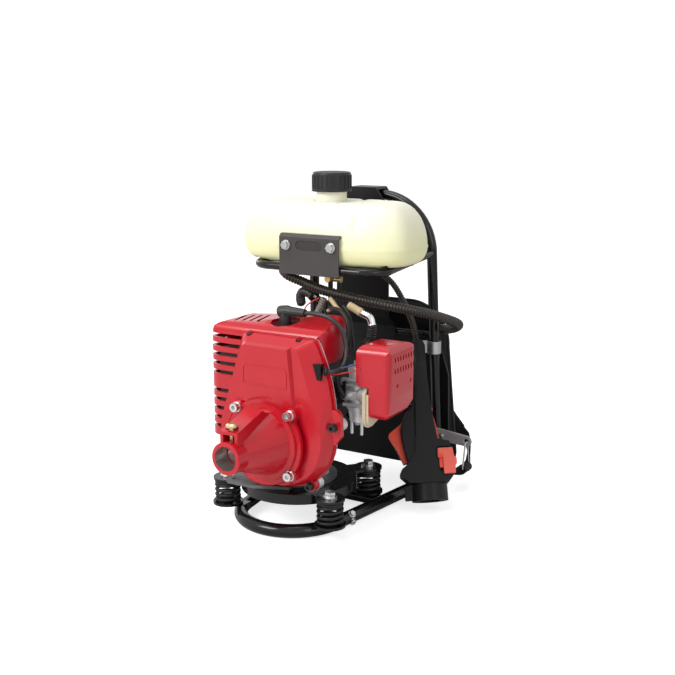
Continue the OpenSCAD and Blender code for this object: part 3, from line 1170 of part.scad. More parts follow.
module frame_bolts() color("silver") {
    for (s = [-1, 1]) translate([s * bracket_bolt_x, bracket_y + bracket_t + 4, bracket_bolt_z]) rotate([90, 0, 0])
        hex_bolt(5.6, bracket_t + 4);
    // strap anchor screws
    both_sides() translate([foot_x + 10, anchor_y + anchor_t + 3, anchor_z + 2]) rotate([90, 0, 0]) hex_bolt(4, anchor_t + 3);
    // bolt that closes the clamp
    at_clamp() translate([clamp_bolt_x, -5.6, 0]) rotate([-90, 0, 0]) hex_bolt(3.6, 9);
}

main_path = [[-60, -12, 284], [-42, -7, 283], [-23, -3, 278], [-6, -3, 273], [12, -3, 269], [34, 0, 265],
    [58, 8, 260], [84, 22, 254], [106, 42, 247], [123, 66, 239], [134, 92, 229], [134, 112, 221], [124, 124, 214],
    [112, 129, 210], [101.5, 131.5, 208]];
thin_path = [[73.9, 118, 192.7], [71.5, 119, 201], [71, 114, 213], [70, 106, 226], [67, 98, 241], [62, 92, 256],
    [54, 87, 270], [44, 80, 281], [34, 74, 289]];
branch_path = [[14, -8, 261], [10, -8, 252], [4, -8, 241], [-1, -9, 228], [-4, -10, 214], [-6, -12, 202],
    [-7, -19, 192]];
module conduits() color("black") {
    hose(main_path, 12, 10);
    hose(thin_path, 8, 8);
    hose(branch_path, 9, 8);
}
hose_path = [[12, 10, 269.4], [12, 9.8, 265], [15, 4, 258], [21, -6, 253], [29, -18, 252], [39, -28, 254],
    [50, -34, 254], [60, -38, 249], [67, -42, 239], [69, -46, 225], [68, -50, 208], [66, -57, 192], [67, -65.5, 182],
    [72, -69, 172], [78, -67.5, 163]];
module fuel_hose() color("black") hose(hose_path, 6, 8);

// ---------- which piece to draw ----------
// The engine's axis lies beside the middle of the whole unit, because the handle hangs at one side
middle = [5.8, 3.4, 0];
module placed() translate(-middle) children();

placed() base_tube();
placed() cross_bars();
placed() back_frame();
placed() spine_plate();
placed() back_board();
placed() back_pad();
placed() shoulder_straps();
placed() strap_anchors();
placed() strap_rings();
placed() tank_cradle();
placed() tank_bracket();
placed() frame_bolts();
placed() fuel_tank();
placed() cap_liner();
placed() fuel_cap();
placed() fuel_cock();
placed() fuel_cock_lever();
placed() fuel_hose();
placed() spring_seats();
placed() mount_springs();
placed() spring_bolts();
placed() platform();
placed() turntable();
placed() crankcase();
placed() cylinder_node();  // cylinder
placed() cylinder_shroud();
placed() front_cover();
placed() clutch_housing();
placed() engine_bolts();
placed() shaft_latch();
placed() starter_housing();
placed() starter_pulley();
placed() starter_grip();
placed() starter_rope();
placed() muffler();
placed() intake_manifold();
placed() carburettor();
placed() float_bowl();
placed() throttle_slide();
placed() choke_lever();
placed() air_cleaner_base();
placed() air_cleaner_cover();
placed() air_filter();
placed() spark_plug();
placed() ht_lead();
placed() ignition_coil();
placed() piston();
placed() connecting_rod();
placed() crankshaft();
placed() flywheel();
placed() clutch_shoes();
placed() clutch_drum();
placed() handle_front();
placed() handle_rear();
placed() throttle_trigger();
placed() lockout_lever();
placed() stop_switch();
placed() p_clamp();
placed() conduits();
placed() cable_elbow();
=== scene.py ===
"""Backpack brush-cutter power unit: looks of every piece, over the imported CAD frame.
Lengths are metres in the frame's own axes: +X right, +Y to the wearer's back, +Z up."""
import json
import math

import bmesh
import bpy
from mathutils import Matrix, Vector, noise

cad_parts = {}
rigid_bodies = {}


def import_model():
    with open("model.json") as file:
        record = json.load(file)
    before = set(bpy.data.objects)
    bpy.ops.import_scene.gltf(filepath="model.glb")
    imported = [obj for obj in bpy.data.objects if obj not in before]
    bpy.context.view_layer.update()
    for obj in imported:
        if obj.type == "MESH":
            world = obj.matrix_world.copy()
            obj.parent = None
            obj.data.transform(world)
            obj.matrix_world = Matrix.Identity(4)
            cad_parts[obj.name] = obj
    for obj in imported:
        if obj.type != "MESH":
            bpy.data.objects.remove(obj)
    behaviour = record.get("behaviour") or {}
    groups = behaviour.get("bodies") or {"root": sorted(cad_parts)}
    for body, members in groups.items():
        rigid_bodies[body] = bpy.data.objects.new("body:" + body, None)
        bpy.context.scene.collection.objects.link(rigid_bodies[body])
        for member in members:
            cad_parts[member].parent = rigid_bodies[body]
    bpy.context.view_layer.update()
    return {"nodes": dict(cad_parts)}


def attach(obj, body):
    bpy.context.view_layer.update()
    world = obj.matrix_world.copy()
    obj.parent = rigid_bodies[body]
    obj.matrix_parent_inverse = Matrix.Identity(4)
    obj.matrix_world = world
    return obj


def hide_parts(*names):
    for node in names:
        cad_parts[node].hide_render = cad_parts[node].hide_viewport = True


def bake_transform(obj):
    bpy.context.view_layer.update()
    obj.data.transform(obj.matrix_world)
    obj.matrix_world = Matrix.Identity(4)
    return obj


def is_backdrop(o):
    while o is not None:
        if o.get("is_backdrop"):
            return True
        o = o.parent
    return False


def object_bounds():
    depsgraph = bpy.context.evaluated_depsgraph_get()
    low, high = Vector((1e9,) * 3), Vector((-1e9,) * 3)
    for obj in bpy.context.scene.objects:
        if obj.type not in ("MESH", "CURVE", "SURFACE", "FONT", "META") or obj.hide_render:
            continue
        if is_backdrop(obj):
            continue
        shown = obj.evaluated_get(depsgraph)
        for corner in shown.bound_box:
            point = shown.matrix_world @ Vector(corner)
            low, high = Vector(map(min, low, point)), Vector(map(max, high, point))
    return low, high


for old in list(bpy.data.objects):
    bpy.data.objects.remove(old)
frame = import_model()
nodes = frame["nodes"]
scene = bpy.context.scene

# ---------- camera, light and floor ----------
# A three-quarter view from the socket's side, a little above the tank's rim. Soft lamps and an even sky
# light the unit; the pale paper under it runs out into a white background.
MIDDLE = Vector((0.0058, 0.0034, 0.0))     # middle of the whole unit, seen from the engine's axis
turn, tilt = math.radians(31), math.radians(12)
look = Vector((-math.sin(turn) * math.cos(tilt), math.cos(turn) * math.cos(tilt), -math.sin(tilt)))
camera = bpy.data.objects.new("camera", bpy.data.cameras.new("camera"))
camera.location = Vector((0.649, -1.034, 0.470)) - MIDDLE
camera.rotation_euler = look.to_track_quat("-Z", "Y").to_euler()
camera.data.sensor_width = 36
camera.data.lens = 55.2
camera.data.clip_start = 0.01
scene.collection.objects.link(camera)
scene.camera = camera
scene.view_settings.view_transform = "Standard"

world = bpy.data.worlds.new("studio")
world.use_nodes = True
sky = world.node_tree
sky_light = sky.nodes["Background"]
sky_light.inputs["Color"].default_value = (1, 1, 1, 1)
sky_light.inputs["Strength"].default_value = 0.36
sky_white = sky.nodes.new("ShaderNodeBackground")
sky_white.inputs["Color"].default_value = (1, 1, 1, 1)
sky_ray = sky.nodes.new("ShaderNodeLightPath")
seen = sky_ray.outputs["Is Camera Ray"]
for kind in ("Is Glossy Ray", "Is Transmission Ray"):
    either = sky.nodes.new("ShaderNodeMath")
    either.operation = "MAXIMUM"
    sky.links.new(seen, either.inputs[0])
    sky.links.new(sky_ray.outputs[kind], either.inputs[1])
    seen = either.outputs[0]
sky_mix = sky.nodes.new("ShaderNodeMixShader")
for source, socket in ((seen, "Fac"), (sky_light.outputs[0], 1), (sky_white.outputs[0], 2)):
    sky.links.new(source, sky_mix.inputs[socket])
sky.links.new(sky_mix.outputs[0], sky.nodes["World Output"].inputs["Surface"])
scene.world = world


def softbox(name, place, target, size, power):
    """A rectangular studio light at place that faces target."""
    light = bpy.data.lights.new(name, "AREA")
    light.shape = "RECTANGLE"
    light.size, light.size_y = size
    light.energy = power
    lamp = bpy.data.objects.new(name, light)
    lamp.location = place
    lamp.rotation_euler = (Vector(target) - Vector(place)).to_track_quat("-Z", "Y").to_euler()
    scene.collection.objects.link(lamp)


softbox("key", (-0.7, -1.6, 1.3), (0, 0, 0.2), (1.0, 0.8), 28)
softbox("fill", (1.8, -0.9, 0.8), (0, 0, 0.2), (0.9, 1.2), 6)
softbox("top", (-0.1, -0.2, 1.9), (0, 0, 0.2), (1.0, 1.0), 11)
softbox("rim", (-1.6, 0.7, 1.0), (0, 0, 0.25), (0.6, 0.9), 4)

floor_mesh = bpy.data.meshes.new("floor")
floor_mesh.from_pydata([(-9, -9, 0), (9, -9, 0), (9, 9, 0), (-9, 9, 0)], [], [(0, 1, 2, 3)])
floor = bpy.data.objects.new("floor", floor_mesh)
scene.collection.objects.link(floor)
floor.location.z = -0.0006
paper = bpy.data.materials.new("paper")
paper.use_nodes = True
paper_shader = paper.node_tree.nodes["Principled BSDF"]
paper_shader.inputs["Base Color"].default_value = (0.86, 0.86, 0.86, 1)
paper_shader.inputs["Roughness"].default_value = 1.0
paper_shader.inputs["Specular IOR Level"].default_value = 0.0
paper_shader.inputs["Emission Color"].default_value = (1, 1, 1, 1)
paper_ray = paper.node_tree.nodes.new("ShaderNodeLightPath")
paper_lift = paper.node_tree.nodes.new("ShaderNodeMath")
paper_lift.operation = "MULTIPLY"
paper_glow = 0.72
paper_lift.inputs[1].default_value = paper_glow
paper.node_tree.links.new(paper_ray.outputs["Is Camera Ray"], paper_lift.inputs[0])
paper.node_tree.links.new(paper_lift.outputs[0], paper_shader.inputs["Emission Strength"])
floor_mesh.materials.append(paper)
floor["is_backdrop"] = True

# ---------- bent steel tubes of the base, back frame and tank cradle ----------
# Seamless tube, bent cold and welded, then dipped in glossy black stove paint. The effects that all the
# finishes share, and the way a CAD piece is dressed, are made here.
patina = bpy.data.node_groups.new("patina", "ShaderNodeTree")
for label, low in (("Size", 0.03), ("Grain size", 0.0008)):
    patina.interface.new_socket(label, in_out="INPUT", socket_type="NodeSocketFloat").default_value = low
for label in ("Tone", "Grain", "Edge"):
    patina.interface.new_socket(label, in_out="OUTPUT", socket_type="NodeSocketFloat")
g_in = patina.nodes.new("NodeGroupInput")
g_out = patina.nodes.new("NodeGroupOutput")
g_co = patina.nodes.new("ShaderNodeTexCoord")
for label, output, detail in (("Size", "Tone", 4), ("Grain size", "Grain", 2)):
    inverse = patina.nodes.new("ShaderNodeMath")
    inverse.operation = "DIVIDE"
    inverse.inputs[0].default_value = 1
    patina.links.new(g_in.outputs[label], inverse.inputs[1])
    cloud = patina.nodes.new("ShaderNodeTexNoise")
    cloud.inputs["Detail"].default_value = detail
    cloud.inputs["Roughness"].default_value = 0.6
    patina.links.new(g_co.outputs["Object"], cloud.inputs["Vector"])
    patina.links.new(inverse.outputs[0], cloud.inputs["Scale"])
    patina.links.new(cloud.outputs["Fac"], g_out.inputs[output])
g_geo = patina.nodes.new("ShaderNodeNewGeometry")
g_ramp = patina.nodes.new("ShaderNodeMapRange")
g_ramp.inputs["From Min"].default_value = 0.52
g_ramp.inputs["From Max"].default_value = 0.62
patina.links.new(g_geo.outputs["Pointiness"], g_ramp.inputs["Value"])
patina.links.new(g_ramp.outputs["Result"], g_out.inputs["Edge"])


def surface(name, light, dark, rough, spread=0.1, metal=0.0, size=0.03, grain=0.0008, bump=0.00004,
            worn=None, coat=0.0, shine=0.5, thread=None):
    """A material whose tone, roughness and fine relief change over the surface."""
    finish = bpy.data.materials.new(name)
    finish.use_nodes = True
    tree = finish.node_tree
    shader = tree.nodes["Principled BSDF"]
    wear = tree.nodes.new("ShaderNodeGroup")
    wear.node_tree = patina
    wear.inputs["Size"].default_value = size
    wear.inputs["Grain size"].default_value = grain
    mix = tree.nodes.new("ShaderNodeMix")
    mix.data_type = "RGBA"
    mix.inputs["A"].default_value = (*light, 1)
    mix.inputs["B"].default_value = (*dark, 1)
    tree.links.new(wear.outputs["Tone"], mix.inputs["Factor"])
    colour = mix.outputs["Result"]
    if worn:
        edge = tree.nodes.new("ShaderNodeMix")
        edge.data_type = "RGBA"
        edge.inputs["B"].default_value = (*worn, 1)
        tree.links.new(colour, edge.inputs["A"])
        tree.links.new(wear.outputs["Edge"], edge.inputs["Factor"])
        colour = edge.outputs["Result"]
    tree.links.new(colour, shader.inputs["Base Color"])
    gloss = tree.nodes.new("ShaderNodeMapRange")
    gloss.inputs["To Min"].default_value = max(0.02, rough - spread)
    gloss.inputs["To Max"].default_value = rough + spread
    tree.links.new(wear.outputs["Tone"], gloss.inputs["Value"])
    tree.links.new(gloss.outputs["Result"], shader.inputs["Roughness"])
    relief = tree.nodes.new("ShaderNodeBump")
    relief.inputs["Strength"].default_value = 0.6
    relief.inputs["Distance"].default_value = bump
    if thread:
        cloth = tree.nodes.new("ShaderNodeGroup")
        cloth.node_tree = weave
        cloth.inputs["Thread"].default_value = thread
        tree.links.new(cloth.outputs["Height"], relief.inputs["Height"])
    else:
        tree.links.new(wear.outputs["Grain"], relief.inputs["Height"])
    tree.links.new(relief.outputs["Normal"], shader.inputs["Normal"])
    shader.inputs["Metallic"].default_value = metal
    shader.inputs["Specular IOR Level"].default_value = shine
    shader.inputs["Coat Weight"].default_value = coat
    shader.inputs["Coat Roughness"].default_value = 0.12
    return finish


def dress(material, *names):
    """Gives CAD nodes their finish, smooth curved faces and narrow broken edges."""
    for name in names:
        obj = nodes[name]
        obj.data.materials.clear()
        obj.data.materials.append(material)
        for face in obj.data.polygons:
            face.use_smooth = True
        weld = obj.modifiers.new("weld", "WELD")
        weld.merge_threshold = 0.00002
        flat = obj.modifiers.new("flat", "DECIMATE")
        flat.decimate_type = "DISSOLVE"
        flat.angle_limit = math.radians(0.6)
        edge = obj.modifiers.new("edge", "BEVEL")
        edge.width = 0.0005
        edge.segments = 2
        edge.limit_method = "ANGLE"
        edge.angle_limit = math.radians(32)
        edge.use_clamp_overlap = True
        normals = obj.modifiers.new("normals", "WEIGHTED_NORMAL")
        normals.keep_sharp = True


stove_paint = surface("black_stove_paint", (0.004, 0.004, 0.005), (0.008, 0.008, 0.009), 0.20, 0.06,
                      bump=0.00002, coat=0.15, shine=0.3)
dress(stove_paint, "base_tube", "cross_bars", "back_frame", "tank_cradle", "platform", "spring_seats")

# ---------- pressed plates, clamp and turntable ----------
# Cut and pressed from sheet steel: the tank's bracket is painted dark grey; strap anchors, turntable and clamp
# are zinc-plated, and so are the bent wire rings.
plate_paint = surface("grey_plate_paint", (0.021, 0.018, 0.018), (0.034, 0.029, 0.029), 0.40, 0.10, shine=0.45,
                      worn=(0.12, 0.11, 0.11))
dull_zinc = surface("dull_zinc", (0.46, 0.44, 0.45), (0.36, 0.34, 0.35), 0.50, 0.10, 0.25, size=0.012)
zinc_sheet = surface("zinc_sheet", (0.52, 0.52, 0.51), (0.40, 0.40, 0.40), 0.38, 0.12, 0.9, size=0.012)
dress(plate_paint, "tank_bracket")
dress(dull_zinc, "strap_anchors")
dress(surface("turntable_zinc", (0.17, 0.165, 0.17), (0.11, 0.11, 0.115), 0.50, 0.10, 0.5, size=0.012), "turntable")
dress(zinc_sheet, "p_clamp", "strap_rings")

# ---------- black mouldings ----------
# Filled nylon with a fine spark-eroded grain: throttle grip shells, back plate and board, recoil starter,
# inlet elbow, choke knob and the lead's clip.
nylon = surface("black_nylon", (0.004, 0.004, 0.005), (0.008, 0.008, 0.009), 0.42, 0.10, grain=0.0006,
                bump=0.00006, shine=0.22)
dress(nylon, "spine_plate", "back_board", "starter_housing", "starter_pulley", "intake_manifold", "choke_lever",
      "ignition_coil", "handle_front", "handle_rear")
orange = surface("orange_moulding", (0.88, 0.085, 0.040), (0.82, 0.070, 0.030), 0.38, 0.08)
dress(orange, "throttle_trigger", "lockout_lever", "stop_switch")

# the handle's own axes: x across it, y through its thickness, z up along it
hand_low, hand_top = Vector((131, 48, 12)), Vector((74, 118, 192))
hand_way = hand_top - hand_low
hand_turn = math.radians(-98)     # about its own length
in_handle = (Matrix.Translation(hand_low * 0.001 - MIDDLE) @ Matrix.Rotation(math.atan2(hand_way.y, hand_way.x), 4, "Z")
             @ Matrix.Rotation(math.acos(hand_way.normalized().z), 4, "Y") @ Matrix.Rotation(hand_turn, 4, "Z"))


def bridge(bm, rings, ends=True):
    """Skins the gap between each ring of points and the next, and closes the two ends."""
    count = len(rings[0])
    for lower, upper in zip(rings, rings[1:]):
        for k in range(count):
            bm.faces.new((lower[k], lower[(k + 1) % count], upper[(k + 1) % count], upper[k]))
    if ends:
        bm.faces.new(rings[0])
        bm.faces.new(rings[-1])


def as_piece(name, bm, material, smooth="all"):
    """The object that bm becomes, its faces outwards; smooth is all, sides (faces of four corners) or none."""
    bmesh.ops.recalc_face_normals(bm, faces=bm.faces)
    mesh = bpy.data.meshes.new(name)
    bm.to_mesh(mesh)
    bm.free()
    for face in mesh.polygons:
        face.use_smooth = smooth == "all" or smooth == "sides" and len(face.vertices) == 4
    mesh.materials.append(material)
    piece = bpy.data.objects.new(name, mesh)
    scene.collection.objects.link(piece)
    return piece


def belong(piece, slot, body, *replaced):
    """Ties a piece to its body and hides the CAD nodes that it stands for; slot is not used."""
    if body:
        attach(piece, body)
    if replaced:
        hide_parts(*replaced)
    return piece


def plate(name, outline, y0, y1, round_by, material):
    """A flat moulding on the handle, from its outline across and up the handle, with rounded edges."""
    bm = bmesh.new()
    low_face, high_face = ([bm.verts.new(Vector((x, y, z)) * 0.001) for x, z in outline] for y in (y0, y1))
    bm.faces.new(low_face)
    bm.faces.new(high_face)
    bridge(bm, [low_face, high_face], ends=False)
    bm.transform(in_handle)
    piece = as_piece(name, bm, material)
    edge = piece.modifiers.new("edge", "BEVEL")
    edge.width = round_by
    edge.segments = 3
    edge.limit_method = "ANGLE"
    edge.angle_limit = math.radians(50)
    normals = piece.modifiers.new("normals", "WEIGHTED_NORMAL")
    normals.keep_sharp = True
    return piece


# cheeks on both sides guard the trigger, and the switch's slider stands proud of its slot
cheek = [(-4, 118), (-14, 116), (-22, 108), (-28, 98), (-30.5, 88), (-30, 76), (-28, 62), (-25.5, 50), (-20, 38),
         (-4, 34)]
for tag, y0, y1 in (("near", -14.5, -7.2), ("far", 7.2, 14.5)):
    belong(plate("trigger_guard_" + tag, cheek, y0, y1, 0.0022, nylon), "black_plastic", "frame")
# The slider's orange is lightened to a pinkish coral: a painted highlight of the front light falling on it.
slider = plate("switch_slider", [(18, 30), (32, 30), (32.6, 39), (34.6, 42), (34.6, 48), (31.6, 51), (30.5, 61.5),
                                 (12.5, 61.5), (12.5, 54), (18, 54)], -22.4, -17.4, 0.0009,
               surface("slider_orange_painted_highlight", (0.94, 0.155, 0.110), (0.88, 0.135, 0.095), 0.40, 0.08))
belong(slider, "orange", "switch")

# ---------- red covers ----------
# Shroud, fan cover, clutch housing and air cleaner are cast or moulded and enamelled in crimson over a
# light orange-peel.
enamel = surface("red_enamel", (0.56, 0.002, 0.014), (0.47, 0.001, 0.010), 0.30, 0.06, size=0.05, grain=0.0011,
                 bump=0.00008, coat=0.35, shine=0.4)
dress(enamel, "cylinder_shroud", "front_cover", "clutch_housing", "air_cleaner_cover")

bore_lining = surface("bore_lining", (0.58, 0.50, 0.48), (0.40, 0.33, 0.32), 0.34, 0.10, 0.8, size=0.010)
housing = nodes["clutch_housing"].data
housing.materials.append(bore_lining)
crank_high, bore_reach, bore_end = 0.111, 0.0146, -0.160
bore_axis = Vector((0, 0, crank_high)) - MIDDLE
for face in housing.polygons:
    out = Vector((face.center.x - bore_axis.x, 0, face.center.z - crank_high))
    if out.length < bore_reach and face.center.y < bore_end and face.normal.dot(out) < -0.3 * out.length:
        face.material_index = 1

# ---------- castings, turned parts and what is inside ----------
# Crankcase, cylinder, piston, flywheel and carburettor are die-cast alloy with a sandy skin. Crankshaft, rod, drum
# and slide are machined steel; muffler and clutch shoes are sooty. The plug is glazed porcelain, the filter foam,
# and the base that holds it a sand-coloured moulding.
# The alloy's tone is set lighter than its own as painted light, so that the carburettor in the cover's shade reads
# bright; the same lift falls on every part in this finish.
alloy_painted_light = surface("cast_alloy_painted_light", (0.80, 0.80, 0.81), (0.60, 0.60, 0.61), 0.40, 0.12, 0.5, size=0.010,
                grain=0.0009, bump=0.00012)
steel = surface("machined_steel", (0.60, 0.60, 0.61), (0.44, 0.44, 0.46), 0.28, 0.10, 1.0, size=0.010)
soot = surface("sooty_steel", (0.070, 0.066, 0.062), (0.14, 0.12, 0.11), 0.62, 0.15, 0.5, size=0.014, bump=0.0001)
dress(alloy_painted_light, "crankcase", "cylinder", "carburettor", "float_bowl", "piston", "flywheel")
dress(steel, "throttle_slide", "connecting_rod", "crankshaft", "clutch_drum", "cable_elbow")
dress(soot, "muffler", "clutch_shoes")
dress(surface("porcelain", (0.86, 0.85, 0.81), (0.80, 0.79, 0.75), 0.20, 0.05), "spark_plug")
dress(surface("filter_foam", (0.55, 0.46, 0.22), (0.40, 0.33, 0.15), 0.92, 0.05, grain=0.0016, bump=0.0006),
      "air_filter")
sand = surface("sand_moulding", (0.66, 0.56, 0.40), (0.56, 0.46, 0.32), 0.45, 0.08)
dress(sand, "air_cleaner_base")

# ---------- screws and bolts ----------
# Bright zinc socket screws hold the clutch housing; those at the fan cover's ears and roof are blackened.
# The shaft's sprung latch is passivated yellow.
bright_zinc = surface("bright_zinc", (0.74, 0.74, 0.73), (0.54, 0.54, 0.54), 0.26, 0.10, 1.0, size=0.008)
black_oxide = surface("black_oxide", (0.016, 0.015, 0.015), (0.030, 0.028, 0.028), 0.34, 0.08, 0.3, size=0.006)
dress(bright_zinc, "frame_bolts", "spring_bolts", "engine_bolts")
screws = nodes["engine_bolts"].data
screws.materials.append(black_oxide)
screw_half, screw_roof = 0.045, 0.20
for face in screws.polygons:
    if abs(face.center.x + MIDDLE.x) > screw_half or face.center.z > screw_roof:
        face.material_index = 1
dress(surface("yellow_zinc", (0.72, 0.62, 0.36), (0.52, 0.45, 0.26), 0.32, 0.10, 0.9, size=0.006), "shaft_latch")

# ---------- fuel line and small rubber ----------
# Every round run below follows one smooth curve through its route; a function of the length gives its radius.
# The nitrile fuel hose leaves the cock, crosses over the shroud and drops in front of the carburettor.


def smooth_route(points, step):
    """An even, rounded line in metres through points in millimetres from the engine's axis and the floor."""
    p = [Vector(q) * 0.001 - MIDDLE for q in points]
    p = [p[0] * 2 - p[1]] + p + [p[-1] * 2 - p[-2]]
    fine = []
    for a, b, c, d in zip(p, p[1:], p[2:], p[3:]):
        for i in range(24):
            t = i / 24
            fine.append(0.5 * (2 * b + (c - a) * t + (2 * a - 5 * b + 4 * c - d) * t * t
                               + (3 * b - a - 3 * c + d) * t ** 3))
    fine.append(p[-2])
    out, left = [fine[0]], step
    for a, b in zip(fine, fine[1:]):
        long = (b - a).length
        while left <= long:
            out.append(a.lerp(b, left / long))
            left += step
        left -= long
    return out


def length_of(line):
    """Length of a line of points."""
    return sum((b - a).length for a, b in zip(line, line[1:]))


def sweep(name, line, radius, sides, material, ends=True):
    """A round form along line whose radius at distance s is radius(s)."""
    bm = bmesh.new()
    rings, up, s = [], Vector((0, 0, 1)), 0.0
    for i, p in enumerate(line):
        along = (line[min(i + 1, len(line) - 1)] - line[max(i - 1, 0)]).normalized()
        if abs(along.dot(up)) > 0.99:
            up = Vector((1, 0, 0))
        up = (up - along * along.dot(up)).normalized()
        side = along.cross(up)
        if i:
            s += (p - line[i - 1]).length
        r = radius(s)
        rings.append([bm.verts.new(p + r * (math.cos(a) * up + math.sin(a) * side))
                      for a in (2 * math.pi * k / sides for k in range(sides))])
    bridge(bm, rings, ends)
    return as_piece(name, bm, material, "sides")


rubber = surface("black_rubber", (0.006, 0.006, 0.006), (0.012, 0.012, 0.012), 0.46, 0.10, grain=0.0006, shine=0.3)
dark_rubber = surface("dark_grey_rubber", (0.018, 0.017, 0.018), (0.030, 0.028, 0.030), 0.42, 0.08, grain=0.0006,
                      shine=0.45)
dress(rubber, "cap_liner")
hose_route = [(12, 10, 269.4), (12, 9.8, 265), (15, 4, 258), (21, -6, 253), (29, -18, 252), (39, -28, 254),
              (50, -34, 254), (60, -38, 249), (67, -42, 239), (69, -46, 225), (68, -50, 208), (66, -57, 192),
              (67, -65.5, 182), (72, -69, 172), (78, -67.5, 163)]
hose_radius = 0.0026
fuel_line = sweep("fuel_line", smooth_route(hose_route, 0.0012), lambda s: hose_radius, 18, rubber)
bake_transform(fuel_line)
belong(fuel_line, "rubber", None, "fuel_hose")

# ---------- mounting springs ----------
# Steel wire wound cold into coil springs with closed ends, coated black, carries the engine's platform on the
# base.
for number, (x, y) in enumerate(((72, -90), (-72, -90), (55, 28), (-55, 28))):
    low_z, high_z = 19.9, 46.6
    wire, mean, turns, closed, per_turn = 2.1, 13.6, 5, 0.6, 32
    coil = []
    for i in range(turns * per_turn + 1):
        a = 2 * math.pi * i / per_turn
        rise = min(1, max(0, (i / per_turn - closed) / (turns - 2 * closed)))
        z = low_z + wire + (high_z - low_z - 2 * wire) * rise
        coil.append(Vector((x + mean * math.cos(a), y + mean * math.sin(a), z)) * 0.001 - MIDDLE)
    spring = sweep("spring_%d" % (number + 1), coil, lambda s: wire * 0.001, 14, rubber)
    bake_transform(spring)
    belong(spring, "black_tube", None, "mount_springs")

# ---------- rail screws ----------
# Zinc-plated steel screws with a hexagon head and a pressed flange. On each side, two of them beside the front
# spring hold its saddle to the base rail.


def hex_screw(name, head, axis, across, tall, washer):
    """A flanged hexagon head that stands on head along axis."""
    bm = bmesh.new()
    for sides, r0, r1, z0, z1 in ((32, washer / 2, washer / 2 * 0.94, 0, tall * 0.25),
                                  (6, across / 2, across / 2, tall * 0.2, tall * 0.85),
                                  (6, across / 2, across / 2 * 0.8, tall * 0.85, tall)):
        rings = [[bm.verts.new((r * math.cos(2 * math.pi * k / sides), r * math.sin(2 * math.pi * k / sides), z))
                  for k in range(sides)] for r, z in ((r0, z0), (r1, z1))]
        bridge(bm, rings, ends=False)
        bm.faces.new(rings[1])
        bm.faces.new(list(reversed(rings[0])))
    bm.transform(Matrix.Translation(head) @ Vector(axis).to_track_quat("Z", "Y").to_matrix().to_4x4())
    return as_piece(name, bm, bright_zinc, "none")


head_across, head_tall, washer_across = 0.0074, 0.0046, 0.0092
for hand, side in ((1, "right"), (-1, "left")):
    for tag, drop, lean_z in (("upper", 5.2, 0.9), ("lower", -2.2, -0.25)):
        head = Vector((hand * 72.6, -42, 8 + drop)) * 0.001 - MIDDLE
        belong(hex_screw("rail_screw_%s_%s" % (tag, side), head, (hand * 0.6, -0.3, lean_z), head_across, head_tall,
                         washer_across), "bolt", "frame")

# ---------- spark plug lead ----------
# A rubber elbow cap sits on the plug; the lead arches over the shroud and ends in the clip on the fan cover,
# where a round grommet takes it in.
lead_route = [(16, -59, 251), (26, -60, 252.5), (38, -61, 252.5), (50, -61, 251), (60, -60, 246), (67, -58, 238),
              (71, -57, 228), (74, -58, 217), (76, -63, 206), (77, -72, 199), (78, -83, 197), (77, -93, 197.5),
              (71, -99, 198)]
lead_radius = 0.0026
belong(sweep("plug_lead", smooth_route(lead_route, 0.0012), lambda s: lead_radius, 20, dark_rubber), "grey_rubber",
       "engine", "ht_lead")


def boot_radius(s):
    """Thick over the plug's elbow, stepped down with ring beads to where the lead goes in."""
    s *= 1000
    if s < 3:
        return 0.001 * (7.2 * math.sqrt(max(0.05, 1 - ((3 - s) / 3.2) ** 2)))
    if s < 13:
        return 0.0072
    if s < 17:
        return 0.001 * (7.2 - 1.2 * (s - 13) / 4)
    bead = 0.35 * max(0, math.cos(2 * math.pi * (s - 17) / 3.2))
    return 0.001 * (5.9 - 0.07 * (s - 17) + bead)


boot_line = [(-17, -58, 249.5), (-12, -58, 250.6), (-4, -58, 251.4), (8, -58.4, 251.6), (21, -59.3, 251.9)]
belong(sweep("plug_boot", smooth_route(boot_line, 0.0006), boot_radius, 26, dark_rubber), "grey_rubber", "engine",
       "ht_lead")
neck_line = [(-8, -58, 232), (-8, -58, 238), (-8, -58, 244), (-8, -58, 249)]
belong(sweep("plug_boot_neck", smooth_route(neck_line, 0.001),
             lambda s: 0.0068 + 0.0012 * max(0.0, 1 - abs(s - 0.001) / 0.002), 26, dark_rubber),
       "grey_rubber", "engine", "ht_lead")
grommet_line = smooth_route([(73.6, -96.6, 197.8), (72, -97.8, 197.9), (70, -99.5, 198)], 0.0004)
belong(sweep("lead_grommet", grommet_line, lambda s: 0.0035 + 0.0016 * math.sin(math.pi * min(1, s / 0.0048)), 24,
             rubber), "rubber", "engine")

# ---------- engine wires and choke cable ----------
# Thin insulated wires: a red and a blue one that start by the lead's clip, and a red one below the loom. The
# choke's thicker black cable is swept the same way.
red_wire = surface("red_wire", (0.62, 0.010, 0.012), (0.50, 0.008, 0.010), 0.40, 0.06, grain=0.0004)
blue_wire = surface("blue_wire", (0.030, 0.075, 0.26), (0.022, 0.055, 0.20), 0.40, 0.06, grain=0.0004)
wire_routes = (
    ("wire_red_coil", red_wire, "engine", [(66, -94, 194.5), (76, -87, 193), (85, -80, 194.5), (93, -70, 196),
                                           (97, -60, 199), (96, -50, 203)]),
    ("wire_blue_coil", blue_wire, "engine", [(65, -92, 197), (74, -84, 197.5), (82, -76, 199.5), (89, -66, 200.5),
                                             (92, -56, 202)]),
    ("wire_red_loom", red_wire, "frame", [(11, -14, 262), (4, -17, 258), (-3, -18, 253), (-8, -17, 246),
                                          (-9, -14, 238)]),
    ("cable_choke", rubber, "engine", [(50, -24, 258), (57, -27, 252), (63, -30, 244), (67, -33, 233), (71, -37, 221),
                                       (75, -41, 210), (78, -43, 201)]),
)
for name, cover, body, route in wire_routes:
    thick = 0.0019 if cover == rubber else 0.0008
    belong(sweep(name, smooth_route(route, 0.001), lambda s: thick, 12, cover), "rubber", body)

